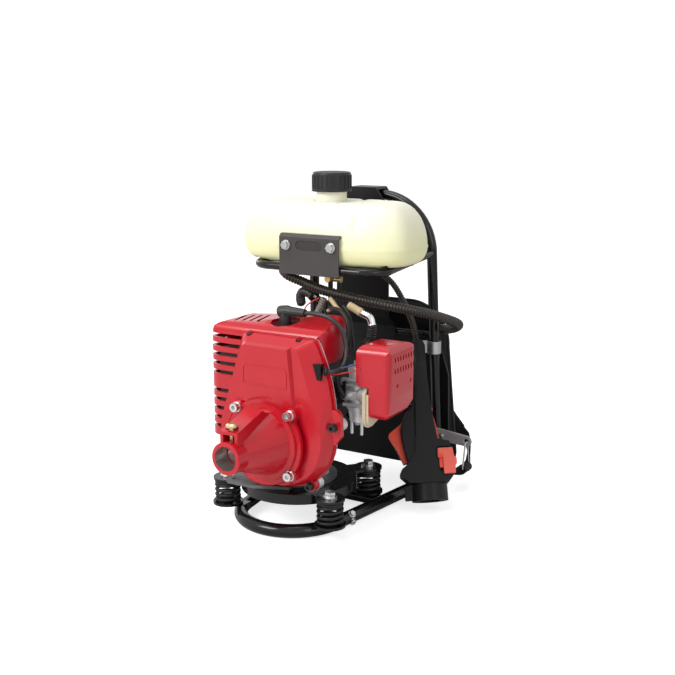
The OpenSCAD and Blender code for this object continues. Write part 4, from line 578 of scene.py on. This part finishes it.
# ---------- throttle cable's elbow ----------
# A ribbed rubber boot on the carburettor's cap, a bright bent tube and a tan sleeve over the outer cable;
# two more tan sleeves cover the loom's joints beside it.
elbow_route = [(80, -42, 200.4), (80, -41.5, 204), (81, -29, 213), (83, -20, 219), (84, -17, 228), (84, -17, 238),
               (81, -17, 246), (72, -17.5, 250), (62, -19, 255), (54, -21, 259)]
elbow_line = smooth_route(elbow_route, 0.0006)
elbow_long = length_of(elbow_line)


def elbow_radius(s):
    """Cable, ribbed boot, then a collar where the bright tube goes in."""
    share = s / elbow_long
    if share < 0.24:
        return 0.0022
    if share < 0.56:
        return 0.0050 + 0.0007 * math.cos(2 * math.pi * s / 0.0030)
    return 0.0040 if share < 0.59 else 0.0046


boot_end, tube_end = int(len(elbow_line) * 0.57), int(len(elbow_line) * 0.80)
bright_tube = surface("bright_tube", (0.80, 0.80, 0.79), (0.62, 0.62, 0.62), 0.18, 0.06, 1.0, size=0.008)
tan_sleeve = surface("tan_sleeve", (0.62, 0.47, 0.26), (0.48, 0.36, 0.20), 0.42, 0.08, grain=0.0005)
belong(sweep("cable_boot", elbow_line[:boot_end], elbow_radius, 20, rubber), "rubber", "engine", "cable_elbow")
belong(sweep("cable_bend", elbow_line[boot_end - 1:tube_end],
             lambda s: 0.0043 if 0.001 < s < 0.026 else 0.0048, 20, bright_tube), "steel", "engine", "cable_elbow")
belong(sweep("cable_sleeve", elbow_line[tube_end - 1:],
             lambda s: 0.0046 + (0.0003 if s < 0.003 else 0) - 0.0010 * max(0, (s - 0.016) / 0.004), 20, tan_sleeve),
       "beige", "engine", "cable_elbow")
sleeve_routes = (("loom_sleeve_1", [(24, -12, 263), (31, -15, 258), (38, -18, 253), (45, -20, 249)], 0.0028),
                 ("loom_sleeve_2", [(22, -14, 247), (30, -16, 251), (38, -17, 252), (46, -19, 249)], 0.0022))
for name, route, thick in sleeve_routes:
    line = smooth_route(route, 0.0008)
    long = length_of(line)
    belong(sweep(name, line, lambda s: thick * math.sqrt(max(0.1, 1 - max(0, abs(2 * s / long - 1) - 0.9) / 0.11)),
                 16, tan_sleeve), "beige", "frame")

# ---------- recoil starter's grip ----------
# A black rubber hook on a round collar; the braided rope goes in through the collar. The weave serves the
# rope and every cloth below.
weave = bpy.data.node_groups.new("weave", "ShaderNodeTree")
weave.interface.new_socket("Thread", in_out="INPUT", socket_type="NodeSocketFloat").default_value = 0.001
weave.interface.new_socket("Height", in_out="OUTPUT", socket_type="NodeSocketFloat")
w_in = weave.nodes.new("NodeGroupInput")
w_out = weave.nodes.new("NodeGroupOutput")
w_co = weave.nodes.new("ShaderNodeTexCoord")
w_inverse = weave.nodes.new("ShaderNodeMath")
w_inverse.operation = "DIVIDE"
w_inverse.inputs[0].default_value = 0.32
weave.links.new(w_in.outputs["Thread"], w_inverse.inputs[1])
waves = []
for direction in ("X", "Z"):
    wave = weave.nodes.new("ShaderNodeTexWave")
    wave.bands_direction = direction
    wave.inputs["Distortion"].default_value = 0.6
    weave.links.new(w_co.outputs["Object"], wave.inputs["Vector"])
    weave.links.new(w_inverse.outputs[0], wave.inputs["Scale"])
    waves.append(wave)
w_max = weave.nodes.new("ShaderNodeMath")
w_max.operation = "MAXIMUM"
weave.links.new(waves[0].outputs["Fac"], w_max.inputs[0])
weave.links.new(waves[1].outputs["Fac"], w_max.inputs[1])
weave.links.new(w_max.outputs[0], w_out.inputs["Height"])
dress(surface("rope_cord", (0.70, 0.70, 0.66), (0.56, 0.56, 0.52), 0.75, 0.10, bump=0.0002, thread=0.0009),
      "starter_rope")

pull = Vector((-0.94, 0, 0.34)).normalized()
grip_at = Vector((-12, 10, 259))
hook = [grip_at + pull * a + Vector((0, 0, b)) for a, b in
        ((3.6, 0), (9, 0.5), (14, -0.5), (18, -4), (20, -9.5), (19.5, -15), (17, -20))]
grip_line = smooth_route(hook, 0.0008)
grip_long = length_of(grip_line)
belong(sweep("pull_grip", grip_line,
             lambda s: 0.0059 * math.sqrt(max(0.04, 1 - max(0.0, (s - grip_long + 0.005) / 0.0052) ** 2))
             - 0.00025 * (math.sin(2 * math.pi * s / 0.005) > 0.6), 24, dark_rubber), "grey_rubber", "grip",
       "starter_grip")
belong(sweep("pull_collar", smooth_route([grip_at + pull * a for a in (0.1, 1.4, 2.8, 4.2)], 0.0004),
             lambda s: 0.0062 + 0.0008 * math.sin(math.pi * min(1, s / 0.004)), 28, dark_rubber), "grey_rubber",
       "grip", "starter_grip")

# ---------- corrugated conduits ----------
# Split nylon conduit with rounded ribs keeps the throttle cable and the switch wires together. A tree grows
# the ribs along each route; the ends are bound with tape.
conduit_tree = bpy.data.node_groups.new("corrugated_conduit", "GeometryNodeTree")
for label, kind in (("Route", "Geometry"), ("Outer radius", "Float"), ("Rib pitch", "Float"), ("Rib depth", "Float"),
                    ("Sides", "Int"), ("Nylon", "Material")):
    conduit_tree.interface.new_socket(label, in_out="INPUT", socket_type="NodeSocket" + kind)
conduit_tree.interface.new_socket("Conduit", in_out="OUTPUT", socket_type="NodeSocketGeometry")


def node_of(tree, kind, *inputs, **settings):
    """A node with its settings; inputs pairs a socket's name or number with a value or another socket."""
    made = tree.nodes.new(kind)
    for key, value in settings.items():
        setattr(made, key, value)
    for socket, value in inputs:
        if isinstance(value, bpy.types.NodeSocket):
            tree.links.new(value, made.inputs[socket])
        else:
            made.inputs[socket].default_value = value
    return made


def maths(tree, operation, a, b=0.0):
    """The output of one Math node."""
    return node_of(tree, "ShaderNodeMath", (0, a), (1, b), operation=operation).outputs[0]


given = conduit_tree.nodes.new("NodeGroupInput").outputs
curve = node_of(conduit_tree, "GeometryNodeMeshToCurve", ("Mesh", given["Route"])).outputs[0]
even = node_of(conduit_tree, "GeometryNodeResampleCurve", ("Curve", curve),
               ("Length", maths(conduit_tree, "DIVIDE", given["Rib pitch"], 6.0)), mode="LENGTH").outputs[0]
along = conduit_tree.nodes.new("GeometryNodeSplineParameter").outputs["Length"]
phase = maths(conduit_tree, "MULTIPLY", maths(conduit_tree, "DIVIDE", along, given["Rib pitch"]), 2 * math.pi)
hump = maths(conduit_tree, "SUBTRACT", 0.5, maths(conduit_tree, "MULTIPLY", maths(conduit_tree, "COSINE", phase), 0.5))
valley = maths(conduit_tree, "SUBTRACT", 1.0, maths(conduit_tree, "POWER", hump, 0.6))
rib_radius = maths(conduit_tree, "SUBTRACT", given["Outer radius"],
                   maths(conduit_tree, "MULTIPLY", valley, given["Rib depth"]))
circle = node_of(conduit_tree, "GeometryNodeCurvePrimitiveCircle", ("Resolution", given["Sides"]),
                 ("Radius", 1.0)).outputs[0]
tube = node_of(conduit_tree, "GeometryNodeCurveToMesh", ("Curve", even), ("Profile Curve", circle),
               ("Scale", rib_radius), ("Fill Caps", True))
smooth = node_of(conduit_tree, "GeometryNodeSetShadeSmooth", ("Geometry", tube.outputs[0])).outputs[0]
whole = node_of(conduit_tree, "GeometryNodeRealizeInstances", ("Geometry", smooth)).outputs[0]
skin = node_of(conduit_tree, "GeometryNodeSetMaterial", ("Geometry", whole), ("Material", given["Nylon"])).outputs[0]
conduit_tree.links.new(skin, conduit_tree.nodes.new("NodeGroupOutput").inputs[0])


def grow(name, tree, lines, values):
    """The plain mesh that a tree makes from lines of points, with its faces turned outwards."""
    guide = bpy.data.meshes.new(name + "_guide")
    points, edges = [], []
    for line in lines:
        edges += [(len(points) + i, len(points) + i + 1) for i in range(len(line) - 1)]
        points += [tuple(p) for p in line]
    guide.from_pydata(points, edges, [])
    piece = bpy.data.objects.new(name, guide)
    scene.collection.objects.link(piece)
    made_by = piece.modifiers.new("made_by", "NODES")
    made_by.node_group = tree
    for item in tree.interface.items_tree:
        if item.in_out == "INPUT" and item.name in values:
            made_by[item.identifier] = values[item.name]
    mesh = bpy.data.meshes.new_from_object(piece.evaluated_get(bpy.context.evaluated_depsgraph_get()))
    piece.modifiers.remove(made_by)
    piece.data = mesh
    bm = bmesh.new()
    bm.from_mesh(mesh)
    bmesh.ops.remove_doubles(bm, verts=bm.verts, dist=0.000002)
    bmesh.ops.recalc_face_normals(bm, faces=bm.faces)
    bm.to_mesh(mesh)
    bm.free()
    return piece


conduit_nylon = surface("conduit_nylon", (0.018, 0.013, 0.009), (0.028, 0.021, 0.015), 0.36, 0.08, grain=0.0006,
                        shine=0.45)
# The branch conduit is a paler grey than the others, and its tone is lifted again as painted light to make up for the
# shade it lies in.
pale_nylon_painted_light = surface("pale_conduit_nylon_painted_light", (0.26, 0.235, 0.20), (0.19, 0.17, 0.145), 0.38, 0.08, grain=0.0006)
tape = surface("loom_tape", (0.010, 0.010, 0.011), (0.016, 0.016, 0.017), 0.34, 0.06, grain=0.0006, shine=0.4)
main_route = [(-50, 6, 292), (-48, 0, 289), (-41, -4.5, 285), (-32, -5, 281.5), (-20, -3, 277.5), (-6, -3, 273),
              (12, -3, 269), (34, 0, 265), (58, 8, 260), (84, 22, 254), (106, 42, 247), (123, 66, 239),
              (134, 92, 229), (134, 112, 221), (124, 124, 214), (112, 129, 210), (101.5, 131.5, 208)]
thin_route = [(73.9, 118, 192.7), (71.5, 119, 201), (71, 114, 213), (70, 106, 226), (67, 98, 241), (62, 92, 256),
              (54, 87, 270), (44, 80, 281), (34, 74, 289)]
branch_route = [(14, -8, 261), (10, -8, 252), (4, -8, 241), (-1, -9, 228), (-4, -10, 214), (-6, -12, 202),
                (-7, -19, 192)]
for name, route, outer, pitch, depth, sides, skin_of in (
        ("conduit_main", main_route, 0.0061, 0.0037, 0.0014, 20, conduit_nylon),
        ("conduit_thin", thin_route, 0.0041, 0.0030, 0.0010, 16, conduit_nylon),
        ("conduit_branch", branch_route, 0.0045, 0.0032, 0.0011, 18, pale_nylon_painted_light)):
    line = smooth_route(route, 0.0012)
    conduit = grow(name, conduit_tree, [line], {"Outer radius": outer, "Rib pitch": pitch, "Rib depth": depth,
                                                "Sides": sides, "Nylon": skin_of})
    if name == "conduit_branch":
        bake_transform(conduit)
        belong(conduit, "grey_rubber", None, "conduits")
    else:
        belong(conduit, "black_plastic", "frame", "conduits")
    for end, part in (("start", line[:9]), ("end", line[-9:])):
        if name == "conduit_main" or end == "end" and name == "conduit_thin":
            belong(sweep(name + "_tape_" + end, part, lambda s: outer + 0.0004 - 0.0008 * (s % 0.004 < 0.0006), 20,
                         tape), "rubber", "frame")

# ---------- fuel tank ----------
# Blow-moulded in natural polyethylene: soft oblong levels, a parting line at the waist, a let-in front for
# the bracket and a short filler neck. The fuel tints the lower half.
tank_skin = surface("tank_plastic", (0.93, 0.91, 0.76), (0.94, 0.91, 0.70), 0.40, 0.05, size=0.09, shine=0.4)
tank_mid = Vector((0, 0.0385, 0)) - MIDDLE
half_x, half_y, tank_low, tank_tall, waist = 0.116, 0.0545, 0.301, 0.072, 0.28
low_draw, top_draw, draw_share, seam_out, squareness, around = 0.015, 0.034, 0.72, 0.0007, 0.60, 240
bm = bmesh.new()
tank_rings = []
for step in range(-15, 31):
    t = math.radians(step * (6 if step < 0 else 3))
    low_part = step < 0
    z = tank_low + (waist * tank_tall * (1 + math.sin(t)) if low_part
                    else tank_tall * (waist + (1 - waist) * math.sin(t)))
    draw = (low_draw if low_part else top_draw) * (1 - math.cos(t))
    seam = seam_out if step == 0 else 0.0
    ring = []
    for k in range(around):
        q = 2 * math.pi * k / around
        c, s = math.cos(q), math.sin(q)
        x = (half_x - draw + seam) * math.copysign(abs(c) ** squareness, c)
        y = (half_y - draw * draw_share + seam) * math.copysign(abs(s) ** squareness, s)
        # shallow creases run down from the top beside the filler
        crease = 0.0
        if step > 3:
            crease = min(1, (step - 3) / 9) * sum(
                deep * math.exp(-((x - at) / 0.0040) ** 2)
                for at, deep in ((-0.044, 0.0014), (-0.008, 0.0020), (0.025, 0.0026), (0.057, 0.0024)))
        inward = Vector((-x, -y * 2, -0.05)).normalized() * crease
        ring.append(bm.verts.new(tank_mid + Vector((x, y, z)) + inward))
    tank_rings.append(ring)
bridge(bm, tank_rings)
tank = as_piece("tank_body", bm, tank_skin, "sides")


def carve(obj, cutter_name, centre, size):
    """Cuts a plain block out of obj."""
    block = bmesh.new()
    bmesh.ops.create_cube(block, size=1, matrix=Matrix.Translation(centre) @ Matrix.Diagonal((*size, 1)))
    data = bpy.data.meshes.new(cutter_name)
    block.to_mesh(data)
    block.free()
    cutter = bpy.data.objects.new(cutter_name, data)
    scene.collection.objects.link(cutter)
    cut_by = obj.modifiers.new("cut", "BOOLEAN")
    cut_by.operation = "DIFFERENCE"
    cut_by.object = cutter
    cut_by.solver = "EXACT"
    result = bpy.data.meshes.new_from_object(obj.evaluated_get(bpy.context.evaluated_depsgraph_get()))
    obj.modifiers.remove(cut_by)
    obj.data = result
    bpy.data.objects.remove(cutter)


# let-in step that the bracket's lip sits in, the flat behind its plate, and grooves for the cradle's arms
carve(tank, "lip_step", Vector((0, -0.0102, 0.335)) - MIDDLE, (0.083, 0.0123, 0.0026))
carve(tank, "plate_flat", Vector((0, -0.0226, 0.326)) - MIDDLE, (0.083, 0.0092, 0.060))
for hand in (-1, 1):
    carve(tank, "arm_groove", Vector((hand * 0.088, 0.04, 0.2985)) - MIDDLE, (0.0108, 0.2, 0.0110))
belong(tank, "tank", "frame", "fuel_tank")
neck_line = smooth_route([(0, 33, 366), (0, 33, 372), (0, 33, 380), (0, 33, 386.8)], 0.0007)
belong(sweep("tank_neck", neck_line, lambda s: 0.018 + 0.0035 * max(0.0, 1 - max(0.0, s - 0.0055) / 0.003) ** 2, 48,
             tank_skin), "tank", "frame", "fuel_tank")

# the plastic lets light in, and the fuel shows as a greener tint below
plastic = tank_skin.node_tree
shader = plastic.nodes["Principled BSDF"]
where = plastic.nodes.new("ShaderNodeTexCoord")
split = plastic.nodes.new("ShaderNodeSeparateXYZ")
level = plastic.nodes.new("ShaderNodeMapRange")
level.inputs["From Min"].default_value = 0.300
level.inputs["From Max"].default_value = 0.366
tint = plastic.nodes.new("ShaderNodeMix")
tint.data_type = "RGBA"
tint.inputs["A"].default_value = (0.87, 0.87, 0.47, 1)
plastic.links.new(where.outputs["Object"], split.inputs["Vector"])
plastic.links.new(split.outputs["Z"], level.inputs["Value"])
plastic.links.new(level.outputs["Result"], tint.inputs["Factor"])
plastic.links.new(shader.inputs["Base Color"].links[0].from_socket, tint.inputs["B"])
plastic.links.new(tint.outputs["Result"], shader.inputs["Base Color"])
shader.inputs["Subsurface Weight"].default_value = 0.30
shader.inputs["Subsurface Scale"].default_value = 0.010
shader.inputs["Subsurface Radius"].default_value = (1.0, 0.95, 0.6)

# ---------- cap and fuel cock ----------
# A ribbed black moulded cap screws on the filler. Under the tank, the turned brass middle of the cock shows
# between black rubber ends.
dress(surface("cap_plastic", (0.011, 0.011, 0.012), (0.018, 0.018, 0.019), 0.46, 0.08, shine=0.35), "fuel_cap")
dress(surface("plain_brass", (0.70, 0.50, 0.22), (0.46, 0.32, 0.13), 0.26, 0.10, 1.0, size=0.006), "fuel_cock",
      "fuel_cock_lever")
cock_mid, brass_half = 0.282, 0.0055
for name in ("fuel_cock", "fuel_cock_lever"):
    nodes[name].data.materials.append(rubber)
    for face in nodes[name].data.polygons:
        if abs(face.center.z - cock_mid) > brass_half:
            face.material_index = 1

# ---------- back pad ----------
# Foam in woven cloth: flat against the board, crowned towards the wearer, piped round its edge and sewn down in
# a border and two cross channels. Its form is worked out in code, without a cloth simulation.
lean = math.radians(3)
cloth = surface("black_cloth", (0.007, 0.007, 0.008), (0.013, 0.013, 0.015), 0.80, 0.10, size=0.05, bump=0.0003,
                shine=0.25, thread=0.0011)
cloth.node_tree.nodes["Principled BSDF"].inputs["Sheen Weight"].default_value = 0.05


def in_back(x, y, h):
    """A point of the leaning back plane, from millimetres: x across, y out to the wearer, h up the plane."""
    return Vector((x, 146 + y * math.cos(lean) - h * math.sin(lean),
                   8 + y * math.sin(lean) + h * math.cos(lean))) * 0.001 - MIDDLE


pad_edge = []
for cx, cz, r, a0, a1, n in ((84, 29, 26, -90, 0, 12), (46, 175, 54, -3, 90, 24)):
    pad_edge += [(cx + r * math.cos(math.radians(a0 + (a1 - a0) * i / n)),
                  cz + r * math.sin(math.radians(a0 + (a1 - a0) * i / n))) for i in range(n + 1)]
pad_edge = pad_edge + [(-x, z) for x, z in reversed(pad_edge)]
loop = []
for (x0, z0), (x1, z1) in zip(pad_edge, pad_edge[1:] + pad_edge[:1]):
    count = max(1, round(math.dist((x0, z0), (x1, z1)) / 4))
    loop += [(x0 + (x1 - x0) * i / count, z0 + (z1 - z0) * i / count) for i in range(count)]


def edge_gap(x, z):
    """Distance from a point in the pad to its outline."""
    best = 1e9
    for (x0, z0), (x1, z1) in zip(pad_edge, pad_edge[1:] + pad_edge[:1]):
        dx, dz = x1 - x0, z1 - z0
        long = dx * dx + dz * dz
        f = 0 if long == 0 else max(0, min(1, ((x - x0) * dx + (z - z0) * dz) / long))
        best = min(best, math.hypot(x - x0 - f * dx, z - z0 - f * dz))
    return best


BORDER, CHANNELS = 17, (82, 150)
RIM_OUT, CROWN, BACK_OUT, BACK_ROLL = 22, 17.5, 13.9, 8.1
BORDER_DEEP, CHANNEL_DEEP, PUFF, UNEVEN = 2.6, 3.4, 1.6, 0.5


def crown(x, z):
    """How far the pad's outer cloth stands out at a point of its face."""
    d = edge_gap(x, z)
    y = RIM_OUT + CROWN * (1 - math.exp(-(d / 9) ** 1.3))
    y -= BORDER_DEEP * math.exp(-((d - BORDER) / 1.6) ** 2)
    if d > BORDER:
        for channel in CHANNELS:
            y -= CHANNEL_DEEP * math.exp(-((z - channel) / 2.6) ** 2) * min(1, (d - BORDER) / 6)
        puff = 0.5 - 0.5 * math.cos(2 * math.pi * (z - CHANNELS[0]) / (CHANNELS[1] - CHANNELS[0]))
        y += PUFF * (1 - math.exp(-(d - BORDER) / 14)) * puff
    return y + UNEVEN * noise.noise(Vector((x, z, 3.1)) * 0.045)


bm = bmesh.new()
centre = (0.0, 112.0)
steps = 44
rows = {}
for side in (0, 1):
    for i in range(steps + 1):
        f = 1 - (i / steps) ** 1.15
        row = []
        for x0, z0 in loop:
            x, z = centre[0] + (x0 - centre[0]) * f, centre[1] + (z0 - centre[1]) * f
            y = crown(x, z) if side else BACK_OUT + BACK_ROLL * math.exp(-(edge_gap(x, z) / 3.2) ** 1.2)
            row.append(bm.verts.new(in_back(x, y, z)))
        rows[side, i] = row
for side in (0, 1):
    bridge(bm, [rows[side, i] for i in range(steps + 1)], ends=False)
bmesh.ops.remove_doubles(bm, verts=bm.verts, dist=0.00002)
pad = as_piece("pad_cloth", bm, cloth)
belong(pad, "cloth", "frame", "back_pad")
piping_line = [in_back(centre[0] + (x - centre[0]) * 0.995, 21.6, centre[1] + (z - centre[1]) * 0.995) for x, z in loop]
belong(sweep("pad_piping", piping_line + piping_line[:1], lambda s: 0.0019, 10, rubber, ends=False), "rubber", "frame",
       "back_pad")

# ---------- shoulder straps and webbing ----------
# Padded straps: foam between two cloth faces, bound along both edges. Flat webbing goes on from each strap,
# turns round the pad's edge and is folded about the wide end of the wire ring.


def ribbon(name, points, outs, profile):
    """A strap along points: profile gives (across, out) in millimetres, closed, and outs its outward directions."""
    bm = bmesh.new()
    rings = []
    for i, (p, n) in enumerate(zip(points, outs)):
        along = (points[min(i + 1, len(points) - 1)] - points[max(i - 1, 0)]).normalized()
        n = (n - along * along.dot(n)).normalized()
        side = along.cross(n)
        rings.append([bm.verts.new(p + 0.001 * (a * side + b * n)) for a, b in profile])
    bridge(bm, rings)
    return belong(as_piece(name, bm, cloth, "sides"), "cloth", "frame", "shoulder_straps")


outward = Vector((0, math.cos(lean), math.sin(lean)))
strap_profile = [(22, 1.2), (22.0, 3.2), (21, 4.4), (19, 4.6), (17.6, 3.5), (14, 4.9), (8, 5.7), (0, 6.0)]
strap_profile = strap_profile + [(-a, b) for a, b in reversed(strap_profile[:-1])]
strap_profile += [(-20, 0.1), (-8, 0.0), (8, 0.0), (20, 0.1)]
web_profile = [(10, 0.3), (10, 1.7), (9, 2.0), (-9, 2.0), (-10, 1.7), (-10, 0.3), (-9, 0), (9, 0)]
strap_out, strap_drop, seam_off = 41.7, 8, 17.6
seam_lines = []
for hand in (-1, 1):
    tag = "right" if hand > 0 else "left"
    strap = [(36, 196), (40, 168), (46, 140), (56, 112), (70, 86), (84, 66), (96, 52)]
    spine = []
    for (xa, za), (xb, zb) in zip(strap, strap[1:]):
        spine += [in_back(hand * (xa + (xb - xa) * i / 8), strap_out, za + (zb - za) * i / 8 - strap_drop)
                  for i in range(8)]
    spine.append(in_back(hand * strap[-1][0], strap_out, strap[-1][1] - strap_drop))
    ribbon("strap_" + tag, spine, [outward] * len(spine), strap_profile)
    for off in (-seam_off, seam_off):
        line = []
        for a, b in zip(spine, spine[1:]):
            line.append(a + 0.001 * (off * (b - a).normalized().cross(outward) + 3.6 * outward))
        seam_lines.append(line)
    # the webbing, as (x, out, up, outward x, y, z): down the pad's side, then round the ring's wide end
    web = [(88, 194.0, 70.5, 0, 1, 0.05), (102, 193.5, 58.5, 0.1, 1, 0.05), (115, 188.5, 51.2, 0.6, 0.8, 0),
           (124, 175.5, 45.5, 0.9, 0.5, -0.1), (129, 161, 36, 0.9, 0.2, -0.4), (130.5, 148, 27.5, 0.5, 0.2, -0.8),
           (131.5, 139, 24.2, 0.1, 0.1, -1)]
    path, outs = [], []
    for one, two in zip(web, web[1:]):
        for i in range(8):
            x, y, z, u, v, w = (a + (b - a) * i / 8 for a, b in zip(one, two))
            path.append(Vector((hand * x, y, z)) * 0.001 - MIDDLE)
            outs.append(Vector((hand * u, v, w)))
    ribbon("webbing_" + tag, path, outs, web_profile)
    # folded end, lying across the web and sewn down beside the wire
    fold, fold_outs = [], []
    for x, z, u, w in ((125, 23.6, 0, -1), (130, 23.8, 0, -1), (135, 24.6, 0.2, -1), (139, 26.2, 0.6, -0.8),
                       (141.6, 28.6, 1, -0.2), (141.8, 31.2, 1, 0.4), (140, 33.4, 0.5, 1), (137.4, 33.6, -0.3, 1),
                       (133, 30.6, -0.4, 1), (127, 27.6, -0.2, 1)):
        fold.append(Vector((hand * x, 134, z)) * 0.001 - MIDDLE)
        fold_outs.append(Vector((hand * u, 0, w)))
    smooth_fold, smooth_outs = [], []
    for (a, b), (n, m) in zip(zip(fold, fold[1:]), zip(fold_outs, fold_outs[1:])):
        for i in range(4):
            smooth_fold.append(a.lerp(b, i / 4))
            smooth_outs.append(n.lerp(m, i / 4))
    ribbon("webbing_fold_" + tag, smooth_fold, smooth_outs, web_profile)

# ---------- stitches ----------
# Lockstitch in waxed black thread along the pad's border and channels and beside the straps' bindings; a tree
# lays one short stitch after the other along each seam.
stitch_tree = bpy.data.node_groups.new("lockstitch", "GeometryNodeTree")
for label, kind in (("Seams", "Geometry"), ("Stitch pitch", "Float"), ("Stitch length", "Float"),
                    ("Thread", "Float"), ("Thread finish", "Material")):
    stitch_tree.interface.new_socket(label, in_out="INPUT", socket_type="NodeSocket" + kind)
stitch_tree.interface.new_socket("Stitches", in_out="OUTPUT", socket_type="NodeSocketGeometry")
given = stitch_tree.nodes.new("NodeGroupInput").outputs
curve = node_of(stitch_tree, "GeometryNodeMeshToCurve", ("Mesh", given["Seams"])).outputs[0]
places = node_of(stitch_tree, "GeometryNodeCurveToPoints", ("Curve", curve), ("Length", given["Stitch pitch"]),
                 mode="LENGTH")
turned = node_of(stitch_tree, "FunctionNodeAlignRotationToVector", ("Vector", places.outputs["Tangent"]),
                 axis="X").outputs[0]
one_stitch = node_of(stitch_tree, "GeometryNodeMeshIcoSphere", ("Radius", 0.5), ("Subdivisions", 2)).outputs["Mesh"]
stretch = node_of(stitch_tree, "ShaderNodeCombineXYZ", ("X", given["Stitch length"]), ("Y", given["Thread"]),
                  ("Z", given["Thread"])).outputs[0]
laid = node_of(stitch_tree, "GeometryNodeInstanceOnPoints", ("Points", places.outputs["Points"]),
               ("Instance", one_stitch), ("Rotation", turned), ("Scale", stretch)).outputs[0]
whole = node_of(stitch_tree, "GeometryNodeRealizeInstances", ("Geometry", laid)).outputs[0]
smooth = node_of(stitch_tree, "GeometryNodeSetShadeSmooth", ("Geometry", whole)).outputs[0]
skin = node_of(stitch_tree, "GeometryNodeSetMaterial", ("Geometry", smooth),
               ("Material", given["Thread finish"])).outputs[0]
stitch_tree.links.new(skin, stitch_tree.nodes.new("NodeGroupOutput").inputs[0])

border = []
for x, z in loop:
    pull_in = 1 - BORDER / math.hypot(x - centre[0], z - centre[1])
    x, z = centre[0] + (x - centre[0]) * pull_in, centre[1] + (z - centre[1]) * pull_in
    border.append(in_back(x, crown(x, z) + 0.2, z))
pad_seams = [border + border[:1]]
for channel in CHANNELS:
    pad_seams.append([in_back(x, crown(x, channel) + 0.2, channel) for x in range(-80, 81, 4)])
waxed = surface("waxed_thread", (0.030, 0.030, 0.032), (0.050, 0.050, 0.054), 0.45, 0.08, size=0.004, grain=0.0003)
for name, seams in (("pad_stitches", pad_seams), ("strap_stitches", seam_lines)):
    row = grow(name, stitch_tree, seams, {"Stitch pitch": 0.0042, "Stitch length": 0.0034, "Thread": 0.0009,
                                          "Thread finish": waxed})
    belong(row, "cloth", "frame")

low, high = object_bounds()
